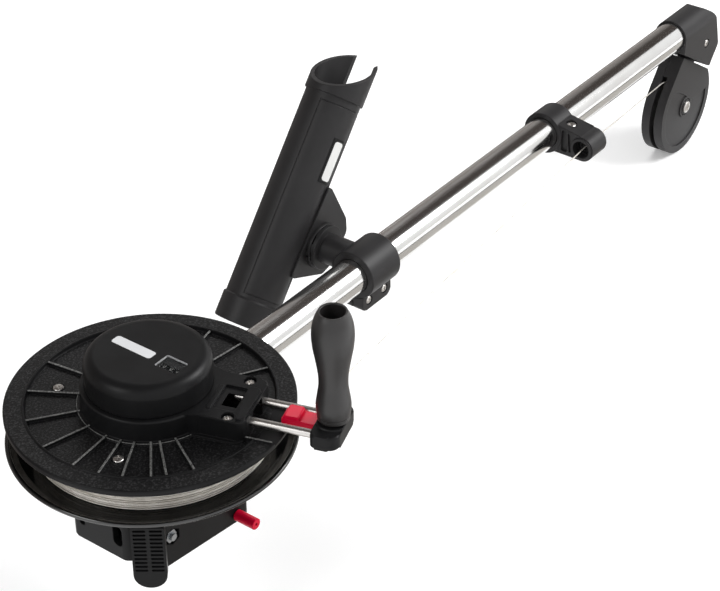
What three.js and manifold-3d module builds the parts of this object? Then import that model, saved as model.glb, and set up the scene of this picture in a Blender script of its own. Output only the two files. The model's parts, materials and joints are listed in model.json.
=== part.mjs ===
// A manual downrigger, in millimetres: a flat cable spool on a moulded frame, a long boom with a
// pulley at its tip, a rod holder on the boom, and a folding crank with a feet counter on top.
// +Z is up along the spool's axle, +X points outboard along the boom, and the origin is where the
// axle's line meets the mounting face under the frame.
import * as THREE from "three";
import { mergeVertices } from "three/addons/utils/BufferGeometryUtils.js";
import Module from "manifold-3d";

const wasm = await Module();
wasm.setup();

// Clearances
const gap = 0.3; // between pieces that touch or turn on each other
const overrun = 1; // how far a cutting shape runs past the face that it cuts
const edge = 1; // the bevel on moulded edges, and how far joined shapes reach into each other
const weld = 0.0005; // vertices nearer than this are one vertex

// Sides of round shapes, by how large they are
const tinySides = 8;
const smallSides = 10;
const midSides = 16;
const largeSides = 20;
const rimSides = 32;
const filletSteps = 3;
const hexSides = 6;
const springSteps = 8; // steps for each turn of a wire spring
const springSides = 5;

const quarter = Math.PI / 2;
const degree = Math.PI / 180;

// Frame: a block, narrower at the rear, with a round pad on top and the boom's socket on its left
const frame = {
  rear: -51,
  front: 45,
  left: 41,
  rightAtRear: -38.7,
  rightAtFront: -51.4,
  blockTop: 72,
  padHeight: 4,
  padRadius: 38,
  wall: 6,
  deck: 8,
  cornerRadius: 4,
  cavityLeft: 7,
};
const boom = { radius: 15.875, wall: 1.65, y: 30, z: 55, rearInset: 7, front: 872 };
const socket = { radius: 20.3, length: 50, ribThickness: 8, ribLength: 43, ribDrop: 15 };
const boomBolt = { radius: 2.5, headRadius: 5, headHeight: 3, places: [-22, 72], reach: 4 };
const shoe = { height: 14, rearInset: 6.5, frontInset: 6.5, left: 21, rightInset: 7 };
const shoeSlot = { screwRadius: 3.3, screwX: 26, screwLeft: 12, screwRight: -22 };
const rearHole = { y: -5.3, z: 21, width: 9, height: 19, depth: 12 };
const rearEye = { y: 30.1, z: 16.5, radius: 2.8, depth: 10 };

// Lock pin on the right face, and the latch lever at the rear right corner on a hinge bolt along Y
const pin = {
  inset: 14,
  z: 7.5,
  radius: 4.1,
  outEnd: -69,
  shankRadius: 2.6,
  tip: -34,
  eyeRadius: 1.3,
  eyeDepth: 6,
};
const lever = {
  heading: 217,
  faceOut: 78.2,
  thickness: 7,
  width: 24.5,
  bottom: 1.5,
  top: 58,
  endRadius: 12.2,
  hingeInset: 20,
  hingeZ: 25,
  eyeRadius: 8,
  eyeLength: 12.5,
  eyeInset: 1,
  armHalfHeight: 7,
  armInsetShare: 0.5,
  neckShare: 1.5,
  swingGap: 1.5, // room for the arm's corner beside the frame when the lever is pressed
  boltRadius: 3,
  ribRows: 10,
  ribPitch: 3.7,
  ribDepth: 1,
  ribHeight: 1.3,
  ribLength: 8.2,
  spine: 2.4,
  firstRib: 14,
};
const leverBay = { left: -12, inset: 34, cheek: 4, openLeft: -17, openInset: 11, openTop: 60 };
const leverNut = { acrossRadius: 5.8, thickness: 4, pocketRadius: 7.6, pocketDepth: 3.6 };
const leverSpring = { wireRadius: 0.7, pitch: 1.9, turns: 3 };

// Axle and what is stacked on it: washer, bush and the spool, an inverted cup with a dished flange
const axle = { radius: 4, below: 8, nutAcross: 6.5, nutHeight: 5.5 };
const washer = { radius: 14, height: 2 };
const bush = { radius: 7, length: 18 };
const spool = {
  flangeRadius: 107.1,
  flangeHeight: 7,
  dish: 3,
  floorThickness: 2.4,
  rimWidth: 8.1,
  lip: 1.5,
  drumRadius: 83,
  drumWall: 2.6,
  drumHeight: 26.9,
  webDrop: 4.1,
  webThickness: 2.5,
  hubRadius: 13,
  sleeveRadius: 5.5,
};

// Cable: inner layers as a plain ring, the outer layer as one unbroken tube in loops
const cable = {
  radius: 0.6,
  layers: 4.2,
  loops: 10,
  loopSteps: 24,
  tubeSides: 6,
  runSteps: 16,
  tailSteps: 16,
  wrapSteps: 14,
  runSides: 8,
};

// Crank plate: upper disc with a rim band, ribs, a keyhole platform and the crank arm's boss.
// Its own frame has X along the crank arm; the whole crank is turned by the heading.
const crank = {
  heading: -72,
  rimInset: 1.1,
  aboveDrum: 0.5,
  thickness: 5,
  recess: 2.4,
  rimBand: 16,
  platformRadius: 50,
  platformHeight: 15.5,
  bossInset: 23,
  bossHalfWidth: 27,
  bossCorner: 6,
  barWidth: 9,
  barNear: -22,
  barFar: 13,
  barHeight: 2.2,
  neckLength: 12,
  neckWideShare: 0.5,
  neckWaistShare: 0.2,
  channelHalfWidth: 21.8,
  channelDepth: 2.2,
  ridgeWidth: 1.6,
  ridgeHeight: 1.4,
  pocketHalfWidth: 8.6,
  pocketRoof: 2,
  pocketInner: 53,
};
const rods = { radius: 3.175, spread: 12, rise: 7.2, inner: 61.5, guideInner: 10.5 };
const slotWindow = { inner: 60.5, outer: 73, near: -10.5, far: 2 };
const plateRib = { width: 1.8, height: 1.6, inner: 53, rimInset: 14 };
// Headings of the plate's ribs and screws, in degrees from +X of the whole part
const ribHeadings = [-175, -162, -151, -138.3, -131.5, -119, -30, -6.5, 12, 35, 60, 98, 121.5, 144, 165.5];
const screwHeadings = [-157.2, 115, 25];
const plateScrew = {
  headRadius: 3.6,
  headHeight: 2.4,
  shankRadius: 1.9,
  pocketRadius: 4.8,
  circle: 70,
  pocketDepth: 3.6,
  bossPocketDepth: 4.1,
  bossAlong: 69,
  bossAcross: 22,
  endInset: 0.9,
};
const clutchRing = { inner: 56, outer: 79 };

// Crank arm: two rods, the end block with a tongue under the latch, the grip on its spindle
const endBlock = {
  beyondPlate: 23,
  length: 20,
  near: -20,
  far: 21,
  drop: 1,
  height: 15,
  corner: 5,
  rodDepthShare: 0.65,
  spindleShare: 0.55,
  tongueHalfWidth: 6,
  tongueThickness: 2.4,
  tongueLength: 28,
};
const latch = {
  length: 28,
  endGap: 0.5,
  halfWidth: 7.6,
  lift: 5,
  thickness: 5.6,
  buttonInset: 4.5,
  buttonLength: 13,
  buttonHeight: 3.6,
};
const latchSpring = { radius: 2.6, wireRadius: 0.35, turns: 2 };
const spindle = { radius: 4, foot: 4, headRadius: 7, headHeight: 4 };
const grip = {
  lift: 2,
  length: 90,
  baseRadius: 11.6,
  bulgeRadius: 12.6,
  bulgeHeight: 12,
  waistRadius: 10.4,
  waistHeight: 29,
  swellShares: [0.35, 0.7],
  crownRadius: 15,
  crownHeight: 72,
  rimRadius: 10.6,
  mouthRadius: 8.8,
  seatHeight: 64,
};

// Counter: stands still on the axle's top, driven by a gear on the spool's sleeve
const counterBase = { lift: 0.5, thickness: 2 };
const bridge = { halfLength: 16, legInner: 11, halfWidth: 4.6, lift: 1.2, thickness: 3.6, tabReach: 7.6 };
const digits = { x: -1.5, rise: 1.6, radius: 8.2, width: 5.8, pitch: 6.2, first: -14.9, shaftRadius: 1.5 };
const toothRootShare = 0.27; // half a tooth's width at its root, as a share of the pitch
const toothTipShare = 0.13;
const driveGear = { teeth: 16, root: 6.9, tip: 8.6, lift: 0.4, thickness: 2.8 };
const jack = { teeth: 8, root: 2.9, tip: 4.5, x: 6.3, y: -10, journal: 1.3, end: 2.9 };
const worm = {
  root: 2.1,
  tip: 3.6,
  lift: 2.4,
  length: 8.8,
  crestShare: 0.12,
  footShare: 0.26,
  steps: 10,
  levels: 20,
};
const wormWheel = { teeth: 10, root: 3.9, tip: 5.3, pitchRadius: 4.8, width: 3 };
const shaftPost = { halfWidth: 3.6, thickness: 2.2, inner: -5.2, outer: -34, rise: 3.2 };
const jackArm = { x: 13, halfWidth: 3, lift: 1.2 };
const topNut = { radius: 5.6, height: 4.5 };

// Counter cover: a dome with a recessed window over the digit wheels
const cover = { radius: 46.5, crownInset: 6.5, height: 24.3, wall: 2.2, shoulderDrop: 6.3, baseGap: 0.9 };
const counterWindow = {
  rear: -9,
  front: 6,
  right: -33.4,
  left: -14.3,
  depth: 1.7,
  thickness: 0.8,
  ledge: 1.2,
  corner: 1,
};

// Rod-holder clamp: a split band round the boom, screws below, a post to the left with a face ring
const clamp = {
  postX: 304,
  postRise: 2,
  length: 40,
  radius: 22,
  earHalf: 11.5,
  earDrop: 33.5,
  split: 1,
  postRadius: 13.5,
  postReach: 41,
  ringRadius: 20,
  ringThickness: 4.5,
  notches: 8,
  notchDepth: 1.2,
  screwDrop: 25,
  screwSpread: 11,
  screwRadius: 2,
  screwHead: 3.6,
  screwHeadHeight: 2.6,
};
const holderBolt = { radius: 3, headRadius: 5, headHeight: 3.4, depth: 16 };

// Rod holder: a slotted tube leaning outboard beside the boom, on a gusset plate and hub
const holder = {
  offset: 22,
  lean: 51.5,
  footBack: 75,
  footDrop: 52.9,
  length: 234.8, // up the axis to the middle of the mouth
  mouthLean: 36,
  radius: 25,
  boreRadius: 21,
  collarRadius: 26.6,
  collarLength: 22.5,
  topCollar: 25,
  slotWidth: 26,
  slotDepth: 28.5,
  slotHeading: -10,
  hubRadius: 20,
  hubHeight: 8.5,
  plateThickness: 5,
  gussetReach: 38,
  // Corners of the gusset plate from the hub's middle, along X and Z, as shares of its reach
  gussetShares: [
    [0.395, 1.395],
    [0.974, 0.237],
    [1, -0.132],
    [0.474, -0.711],
    [0.053, -0.816],
    [-1.105, -0.342],
  ],
};

// Cable guide: a clip on the boom with an arm to the right that carries the eyelet
const guide = {
  x: 600,
  length: 27,
  radius: 20.5,
  above: 14,
  shoulder: 18, // from the boom's middle to where the arm's top begins to slope down
  endRadius: 12.5,
  endTurn: 192, // degrees that the arm's rounded end turns through
  endSteps: 9,
  holeReach: 42.5,
  holeDrop: 3.5,
  flareRadius: 8.6,
  screwReach: 23,
  screwRadius: 2,
  screwHead: 4.6,
  screwHeadHeight: 3,
  screwSink: 5,
};
const eyelet = { outer: 6.4, inner: 3.6, flange: 7.2, length: 9, flangeThickness: 1.4 };

// Tip cap on the boom's end, with an inclined lower face that the pulley head hangs from.
// Places along X are measured from the boom's end, heights from its middle.
const tip = {
  back: 36,
  radius: 18,
  topOver: 8,
  browOver: 27,
  browRise: 7,
  noseOver: 42,
  noseDrop: 33,
  chinOver: 26,
  wall: 2,
  screwOver: 14,
  screwDrop: 22,
  screwRadius: 1.5,
  screwHead: 3.4,
  screwHeadHeight: 2.4,
};
const swivel = {
  back: 1.1,
  drop: 39.7,
  lean: 32,
  radius: 4,
  top: 29,
  bottom: -13,
  neckRadius: 1.5,
  neckHalf: 2.2,
  bossRadius: 12,
  bossHeight: 2.1,
};

// Pulley head: two halves with a slot between them for the cable, and the sheave inside
const pulley = {
  back: 8,
  drop: 90,
  radius: 52,
  rearBack: 24,
  frontOver: 37,
  halfThickness: 12,
  slotHalf: 2.6,
  recessRadius: 38,
  arcSteps: 18,
  bottomWallFrom: 238,
  bottomWallTo: 296,
  bottomWallInner: 43,
  spacerRise: 45,
  reliefDepth: 1.2,
  reliefRadius: 44,
  bossRadius: 12,
};
const sheave = { radius: 36.5, groove: 31.2, halfWidth: 3.6, grooveHalf: 2.4, bore: 4.3 };
const sheaveAxle = { radius: 4, screwHead: 6.4, headHeight: 2.6 };

// The cable's route: off the winding, through the eyelet, into the pulley's slot, over the sheave to a crimp
const cableStart = { x: 11, rise: 10.4 };
const slotMouth = { back: 46, right: 0.3, drop: 49.6 };
const crimp = { radius: 1.7, length: 9, drop: 24 };

// Places that follow from the sizes above, from the foot of the stack up and then out along the boom
const frameTop = frame.blockTop + frame.padHeight;
const boomRear = frame.rear + boom.rearInset;
const socketAt = { front: frame.front + socket.length, ribFront: frame.front + socket.ribLength };
const shoeAt = { rear: frame.rear + shoe.rearInset, front: frame.front - shoe.frontInset };
const pinX = frame.front - pin.inset;
const bayAt = {
  front: frame.rear + leverBay.inset,
  openFront: frame.rear + leverBay.openInset,
  hingeX: frame.rear + lever.hingeInset,
};
const axleBottom = frame.blockTop - frame.deck - axle.below;
const spoolBottom = frameTop + gap + washer.height + gap;
const flangeTop = spoolBottom + spool.flangeHeight;
const floorTop = flangeTop - spool.dish;
const drumTop = floorTop + spool.drumHeight;
const webTop = drumTop - spool.webDrop;
const crankRadius = spool.flangeRadius - crank.rimInset;
const crankBottom = drumTop + crank.aboveDrum;
const crankTop = crankBottom + crank.thickness;
const platformTop = crankTop + crank.platformHeight;
const crankAt = {
  radius: crankRadius,
  bossEnd: crankRadius - crank.bossInset,
  barInner: crankRadius - crank.bossInset - crank.barWidth,
  ribOuter: crankRadius - plateRib.rimInset,
  bottom: crankBottom,
  top: crankTop,
  platformTop,
  pocketCeiling: platformTop - crank.pocketRoof,
  rodZ: crankTop + rods.rise,
};
const clutchRingBottom = webTop + gap;
const plateScrewAt = {
  seat: crankTop - plateScrew.pocketDepth,
  bossSeat: platformTop - plateScrew.bossPocketDepth,
  end: clutchRingBottom + plateScrew.endInset,
};
const endBlockInner = crankRadius + endBlock.beyondPlate;
const endBlockBottom = crankTop - endBlock.drop;
const endBlockAt = {
  inner: endBlockInner,
  outer: endBlockInner + endBlock.length,
  bottom: endBlockBottom,
  top: endBlockBottom + endBlock.height,
  rodDepth: endBlock.length * endBlock.rodDepthShare,
  tongueInner: endBlockInner - endBlock.tongueLength,
};
const latchInner = endBlockInner - latch.endGap - latch.length;
const latchBottom = endBlockBottom + latch.lift;
const latchShelf = latchBottom + latch.thickness;
const latchAt = {
  inner: latchInner,
  outer: latchInner + latch.length,
  bottom: latchBottom,
  shelf: latchShelf,
  buttonInner: latchInner + latch.buttonInset,
  middle: latchInner + latch.buttonInset + latch.buttonLength / 2,
  buttonOuter: latchInner + latch.buttonInset + latch.buttonLength,
  buttonTop: latchShelf + latch.buttonHeight,
};
const spindleAt = {
  x: endBlockInner + endBlock.length * endBlock.spindleShare,
  bottom: endBlockBottom + spindle.foot,
};
const gripBottom = endBlockAt.top + grip.lift;
const gripAt = {
  bottom: gripBottom,
  top: gripBottom + grip.length,
  bulge: gripBottom + grip.bulgeHeight,
  waist: gripBottom + grip.waistHeight,
  crown: gripBottom + grip.crownHeight,
  seat: gripBottom + grip.seatHeight,
};
const baseBottom = platformTop + counterBase.lift;
const baseTop = baseBottom + counterBase.thickness;
const gearBottom = baseTop + driveGear.lift;
const gearTop = gearBottom + driveGear.thickness;
const sleeveTop = gearTop + driveGear.lift;
const bridgeBottom = sleeveTop + bridge.lift;
const bridgeTop = bridgeBottom + bridge.thickness;
const digitsZ = bridgeTop + digits.rise;
const wormBottom = gearTop + worm.lift;
const wormTop = wormBottom + worm.length;
const counterAt = {
  baseBottom,
  baseTop,
  baseRadius: cover.radius - cover.wall - cover.baseGap,
  gearBottom,
  gearTop,
  bridgeBottom,
  bridgeTop,
  digitsZ,
  wormBottom,
  wormTop,
  jackTop: wormTop + jack.end,
  armBottom: wormTop + jackArm.lift,
  postTop: digitsZ + shaftPost.rise,
};
const dishRadius = spool.flangeRadius - spool.rimWidth;
const spoolAt = { dishRadius, flangeTop, floorTop, drumTop, webTop, sleeveTop };
const axleTop = bridgeTop + gap + topNut.height;
const wormLead = (2 * Math.PI * wormWheel.pitchRadius) / wormWheel.teeth;
const coverTop = baseBottom + cover.height;
const coverAt = {
  top: coverTop,
  shoulder: coverTop - cover.shoulderDrop,
  crown: cover.radius - cover.crownInset,
};
const cableCoreRadius = spool.drumRadius + cable.layers;
const windingBottom = floorTop + gap + cable.radius + gap;
const windingTop = drumTop - gap - cable.radius;
const windingPitch = (windingTop - windingBottom) / cable.loops;
const windingRadius = (cableCoreRadius + cable.radius + gap) / Math.cos(Math.PI / cable.loopSteps);
const clampAt = {
  rear: clamp.postX - clamp.length / 2,
  front: clamp.postX + clamp.length / 2,
  earBottom: boom.z - clamp.earDrop,
  postZ: boom.z + clamp.postRise,
  ringInner: boom.y + clamp.postReach,
  ringOuter: boom.y + clamp.postReach + clamp.ringThickness,
  screwZ: boom.z - clamp.screwDrop,
  screwPlaces: [clamp.postX - clamp.screwSpread, clamp.postX + clamp.screwSpread],
};
const holderAt = {
  hubOuter: clampAt.ringOuter + holder.hubHeight,
  y: clampAt.ringOuter + holder.hubHeight + holder.offset,
  footX: clamp.postX - holder.footBack,
  footZ: clampAt.postZ - holder.footDrop,
  highest: holder.length + holder.collarRadius * Math.tan(holder.mouthLean * degree),
};
const guideAt = {
  rear: guide.x - guide.length / 2,
  front: guide.x + guide.length / 2,
  bottom: boom.z - guide.holeDrop - guide.endRadius,
  top: boom.z + guide.above,
  holeY: boom.y - guide.holeReach,
  holeZ: boom.z - guide.holeDrop,
  screwY: boom.y - guide.screwReach,
};
const tipAt = {
  rear: boom.front - tip.back,
  topFront: boom.front + tip.topOver,
  brow: [boom.front + tip.browOver, boom.z + tip.browRise],
  nose: [boom.front + tip.noseOver, boom.z - tip.noseDrop],
  chinX: boom.front + tip.chinOver,
  screwX: boom.front + tip.screwOver,
  screwZ: boom.z - tip.screwDrop,
};
const swivelAt = { x: boom.front - swivel.back, z: boom.z - swivel.drop };
const swivelAxis = new THREE.Vector3(Math.sin(swivel.lean * degree), 0, Math.cos(swivel.lean * degree));
const pulleyAt = {
  x: boom.front - pulley.back,
  z: boom.z - pulley.drop,
  topRearX: boom.front - pulley.rearBack,
  topFrontX: boom.front + pulley.frontOver,
  nearFace: boom.y - pulley.halfThickness,
  farFace: boom.y + pulley.halfThickness,
  spacerFloor: boom.z - pulley.drop + pulley.spacerRise,
};
const cableStartZ = floorTop + cableStart.rise;
const slotMouthAt = [boom.front - slotMouth.back, boom.y - slotMouth.right, boom.z - slotMouth.drop];
const sheaveCableRadius = sheave.groove + gap + cable.radius;

// Materials
const finish = (color, roughness, metalness) => () =>
  new THREE.MeshStandardMaterial({ color, roughness, metalness, flatShading: true });
const blackPlastic = finish(0x1c1c1e, 0.55, 0);
const glossPlastic = finish(0x101012, 0.2, 0);
const redPlastic = finish(0xd0103a, 0.35, 0);
const whitePlastic = finish(0xe8e8e4, 0.4, 0);
const clearPlastic = finish(0xc8d0d4, 0.1, 0);
const stainless = finish(0xc6c8ca, 0.2, 1);
const zincSteel = finish(0xb4b6b8, 0.35, 1);
const wireRope = finish(0xa9a8a4, 0.4, 1);
const bronze = finish(0x9a7440, 0.45, 1);

// Boolean work: geometry in, geometry out
function solidOf(geometry) {
  const bare = new THREE.BufferGeometry();
  const source = geometry.index ? geometry.toNonIndexed() : geometry;
  bare.setAttribute("position", source.getAttribute("position").clone());
  const merged = mergeVertices(bare, weld);
  const index = merged.index.array;
  const faces = [];
  for (let i = 0; i < index.length; i += 3) {
    const [a, b, c] = [index[i], index[i + 1], index[i + 2]];
    if (a !== b && b !== c && c !== a) faces.push([a, b, c]);
  }
  const make = (list) =>
    new wasm.Manifold(
      new wasm.Mesh({
        numProp: 3,
        vertProperties: merged.attributes.position.array,
        triVerts: new Uint32Array(list.flat()),
      }),
    );
  const made = make(faces);
  return made.volume() < 0 ? make(faces.map(([a, b, c]) => [a, c, b])) : made;
}

function geometryOf(solid) {
  const mesh = solid.getMesh();
  const points = new Float32Array(mesh.numVert * 3);
  for (let i = 0; i < mesh.numVert; i++) {
    points.set(mesh.vertProperties.subarray(i * mesh.numProp, i * mesh.numProp + 3), i * 3);
  }
  const geometry = new THREE.BufferGeometry();
  geometry.setAttribute("position", new THREE.BufferAttribute(points, 3));
  geometry.setIndex(new THREE.BufferAttribute(new Uint32Array(mesh.triVerts), 1));
  return geometry;
}

const join = (...shapes) => geometryOf(shapes.map(solidOf).reduce((a, b) => a.add(b)));
const cut = (...shapes) => geometryOf(shapes.map(solidOf).reduce((a, b) => a.subtract(b)));
const common = (...shapes) => geometryOf(shapes.map(solidOf).reduce((a, b) => a.intersect(b)));

// Basic shapes, placed by the faces that bound them
function block(x0, x1, y0, y1, z0, z1) {
  const box = new THREE.BoxGeometry(x1 - x0, y1 - y0, z1 - z0);
  return box.translate((x0 + x1) / 2, (y0 + y1) / 2, (z0 + z1) / 2);
}

function post(radius, z0, z1, sides, x = 0, y = 0) {
  const shape = new THREE.CylinderGeometry(radius, radius, z1 - z0, sides);
  return shape.rotateX(quarter).translate(x, y, (z0 + z1) / 2);
}

function rodX(radius, x0, x1, sides, y = 0, z = 0) {
  const shape = new THREE.CylinderGeometry(radius, radius, x1 - x0, sides);
  return shape.rotateZ(quarter).translate((x0 + x1) / 2, y, z);
}

function rodY(radius, y0, y1, sides, x = 0, z = 0) {
  const shape = new THREE.CylinderGeometry(radius, radius, y1 - y0, sides);
  return shape.translate(x, (y0 + y1) / 2, z);
}

// A profile of [radius, height] points, closed on itself, turned about Z
function turned(profile, sides) {
  const points = [...profile, profile[0]].map(([r, z]) => new THREE.Vector2(r, z));
  return new THREE.LatheGeometry(points, sides).rotateX(quarter);
}

function outline(points) {
  return new THREE.Shape(points.map(([x, y]) => new THREE.Vector2(x, y)));
}

function roundedOutline(x0, x1, y0, y1, radius) {
  const shape = new THREE.Shape();
  shape.moveTo(x0 + radius, y0);
  shape.lineTo(x1 - radius, y0);
  shape.absarc(x1 - radius, y0 + radius, radius, -quarter, 0);
  shape.lineTo(x1, y1 - radius);
  shape.absarc(x1 - radius, y1 - radius, radius, 0, quarter);
  shape.lineTo(x0 + radius, y1);
  shape.absarc(x0 + radius, y1 - radius, radius, quarter, 2 * quarter);
  shape.lineTo(x0, y0 + radius);
  shape.absarc(x0 + radius, y0 + radius, radius, 2 * quarter, 3 * quarter);
  return shape;
}

// An outline in X and Y made solid between two heights
function slab(shape, z0, z1) {
  const options = { depth: z1 - z0, bevelEnabled: false, curveSegments: filletSteps };
  return new THREE.ExtrudeGeometry(shape, options).translate(0, 0, z0);
}

// An outline in X and Z made solid between two places on Y
function slabY(shape, y0, y1) {
  return slab(shape, -y1, -y0).rotateX(quarter);
}

// An outline in Y and Z made solid between two places on X
function slabX(shape, x0, x1) {
  return slab(shape, x0, x1).rotateX(quarter).rotateZ(quarter);
}

// A round section swept along a curve, closed at both ends
function swept(curve, radius, steps, sides) {
  const section = outline(
    Array.from({ length: sides }, (_, i) => {
      const turn = (2 * Math.PI * i) / sides;
      return [radius * Math.cos(turn), radius * Math.sin(turn)];
    }),
  );
  return new THREE.ExtrudeGeometry(section, { steps, extrudePath: curve, bevelEnabled: false });
}

// A round tube round a helix about Z, as one closed body
function helixTube(radius, tubeRadius, pitch, turns, z0, stepsPerTurn, sides) {
  const steps = Math.round(turns * stepsPerTurn);
  const positions = [];
  const index = [];
  for (let i = 0; i <= steps; i++) {
    const turn = (2 * Math.PI * i) / stepsPerTurn;
    const z = z0 + (pitch * i) / stepsPerTurn;
    for (let k = 0; k < sides; k++) {
      const around = (2 * Math.PI * k) / sides;
      const r = radius + tubeRadius * Math.cos(around);
      positions.push(r * Math.cos(turn), r * Math.sin(turn), z + tubeRadius * Math.sin(around));
    }
  }
  for (let i = 0; i < steps; i++) {
    for (let k = 0; k < sides; k++) {
      const a = i * sides + k;
      const b = i * sides + ((k + 1) % sides);
      index.push(a, b, a + sides, b, b + sides, a + sides);
    }
  }
  const end = steps * sides;
  for (let k = 1; k < sides - 1; k++) {
    index.push(0, k + 1, k, end, end + k, end + k + 1);
  }
  const geometry = new THREE.BufferGeometry();
  geometry.setAttribute("position", new THREE.Float32BufferAttribute(positions, 3));
  geometry.setIndex(index);
  return geometryOf(solidOf(geometry));
}

// A spur gear's outline: straight-sided teeth between a root circle and a tip circle
function gearOutline(teeth, rootRadius, tipRadius, startTurn) {
  const points = [];
  for (let i = 0; i < teeth; i++) {
    const at = (share, radius) => {
      const turn = startTurn + (2 * Math.PI * (i + share)) / teeth;
      points.push([radius * Math.cos(turn), radius * Math.sin(turn)]);
    };
    at(-toothRootShare, rootRadius);
    at(-toothTipShare, tipRadius);
    at(toothTipShare, tipRadius);
    at(toothRootShare, rootRadius);
  }
  return outline(points);
}

const model = new THREE.Group();

function addPiece(group, name, geometry, material) {
  const mesh = new THREE.Mesh(geometry, material());
  geometry.computeVertexNormals();
  mesh.name = name;
  group.add(mesh);
  return mesh;
}

// The frame's right face runs askew: its place on Y at a place on X
function rightFace(x) {
  const share = (x - frame.rear) / (frame.front - frame.rear);
  return frame.rightAtRear + (frame.rightAtFront - frame.rightAtRear) * share;
}

function frameOutline() {
  const { rear, front, left, cornerRadius: r } = frame;
  return outline([
    [rear, left - r],
    [rear, rightFace(rear) + r],
    [rear + r, rightFace(rear + r)],
    [front - r, rightFace(front - r)],
    [front, rightFace(front) + r],
    [front, left - r],
    [front - r, left],
    [rear + r, left],
  ]);
}

// An outline in the frame's plan whose right edge keeps one distance inside the right face
function besideRightFace(rear, front, left, inset) {
  return outline([
    [rear, left],
    [rear, rightFace(rear) + inset],
    [front, rightFace(front) + inset],
    [front, left],
  ]);
}

function mainFrame() {
  const bodyBlock = slab(frameOutline(), 0, frame.blockTop);
  const pad = post(frame.padRadius, frame.blockTop - edge, frameTop, largeSides);
  const socketTube = rodX(socket.radius, frame.rear, socketAt.front, largeSides, boom.y, boom.z);
  const ribShape = outline([
    [frame.front - edge, boom.z],
    [frame.front - edge, boom.z - socket.radius - socket.ribDrop],
    [socketAt.ribFront, boom.z - socket.radius + edge],
    [socketAt.ribFront, boom.z],
  ]);
  const rib = slabY(ribShape, boom.y - socket.ribThickness / 2, boom.y + socket.ribThickness / 2);
  const shell = join(bodyBlock, pad, socketTube, rib);

  const inner = frame.wall;
  const ceiling = frame.blockTop - frame.deck;
  const cavityFront = slab(
    besideRightFace(bayAt.front + leverBay.cheek, frame.front - inner, frame.cavityLeft, inner),
    shoe.height,
    ceiling,
  );
  const cavityRear = block(
    frame.rear + inner,
    bayAt.front + leverBay.cheek + overrun,
    leverBay.left + leverBay.cheek,
    frame.cavityLeft,
    shoe.height,
    ceiling,
  );
  const bay = slab(
    besideRightFace(frame.rear + inner, bayAt.front, leverBay.left, inner),
    shoe.height,
    ceiling,
  );
  const cornerOpening = block(
    frame.rear - overrun,
    bayAt.openFront,
    frame.rightAtFront - overrun,
    leverBay.openLeft,
    -overrun,
    leverBay.openTop,
  );
  const shoeSeat = slab(
    besideRightFace(shoeAt.rear - gap, shoeAt.front + gap, shoe.left + gap, shoe.rightInset - gap),
    -overrun,
    shoe.height + gap,
  );
  const boomBore = rodX(
    boom.radius + gap,
    boomRear - gap,
    socketAt.front + overrun,
    largeSides,
    boom.y,
    boom.z,
  );
  const axleHole = post(axle.radius + gap, ceiling - overrun, frameTop + overrun, smallSides);
  const rightAtNut = rightFace(bayAt.hingeX);
  const hingeHole = rodY(
    lever.boltRadius + gap,
    rightAtNut - overrun,
    leverBay.left + leverBay.cheek + overrun,
    smallSides,
    bayAt.hingeX,
    lever.hingeZ,
  );
  const nutPocket = rodY(
    leverNut.pocketRadius,
    rightFace(bayAt.hingeX + leverNut.pocketRadius) - overrun,
    rightAtNut + leverNut.pocketDepth,
    hexSides,
    bayAt.hingeX,
    lever.hingeZ,
  );
  const slotTop = rearHole.z + rearHole.height / 2;
  const slotBottom = rearHole.z - rearHole.height / 2;
  const slotEnd = rearHole.width / 2;
  const slotShape = roundedOutline(rearHole.y - slotEnd, rearHole.y + slotEnd, slotBottom, slotTop, slotEnd);
  const rearSlot = slabX(slotShape, frame.rear - overrun, frame.rear + rearHole.depth);
  const smallEye = rodX(
    rearEye.radius,
    frame.rear - overrun,
    frame.rear + rearEye.depth,
    smallSides,
    rearEye.y,
    rearEye.z,
  );
  const pinHole = rodY(
    pin.shankRadius + gap,
    rightFace(pinX) - frame.wall,
    rightFace(pinX) + shoe.rightInset + overrun,
    smallSides,
    pinX,
    pin.z,
  );
  const boltTools = boomBolt.places.map((x) =>
    join(
      rodY(boomBolt.radius + gap, boltInnerEnd(), boltSeat() + overrun, tinySides, x, boom.z),
      rodY(boomBolt.headRadius + gap, boltSeat(), boltSeat() + socket.radius, smallSides, x, boom.z),
    ),
  );
  return cut(
    shell,
    cavityFront,
    cavityRear,
    bay,
    cornerOpening,
    shoeSeat,
    boomBore,
    axleHole,
    hingeHole,
    nutPocket,
    rearSlot,
    smallEye,
    pinHole,
    ...boltTools,
  );
}

// Boom bolts go in from the left, through the tube, into the socket's far wall
function boltSeat() {
  return boom.y + socket.radius - boomBolt.headHeight;
}

function boltInnerEnd() {
  return boom.y - boom.radius - boomBolt.reach + gap;
}

function boomBoltShape(x) {
  const seat = boltSeat() + gap;
  const shankEnd = seat + boomBolt.headHeight / 2;
  const shank = rodY(boomBolt.radius, boltInnerEnd() + gap, shankEnd, tinySides, x, boom.z);
  const head = rodY(boomBolt.headRadius, seat, seat + boomBolt.headHeight, smallSides, x, boom.z);
  return join(shank, head);
}

function boomTube() {
  const tube = rodX(boom.radius, boomRear, boom.front, largeSides, boom.y, boom.z);
  const bore = rodX(
    boom.radius - boom.wall,
    boomRear - overrun,
    boom.front + overrun,
    largeSides,
    boom.y,
    boom.z,
  );
  const holes = boomBolt.places.map((x) =>
    rodY(boomBolt.radius + gap, boom.y - 2 * boom.radius, boom.y + 2 * boom.radius, tinySides, x, boom.z),
  );
  return cut(tube, bore, ...holes);
}

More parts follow.
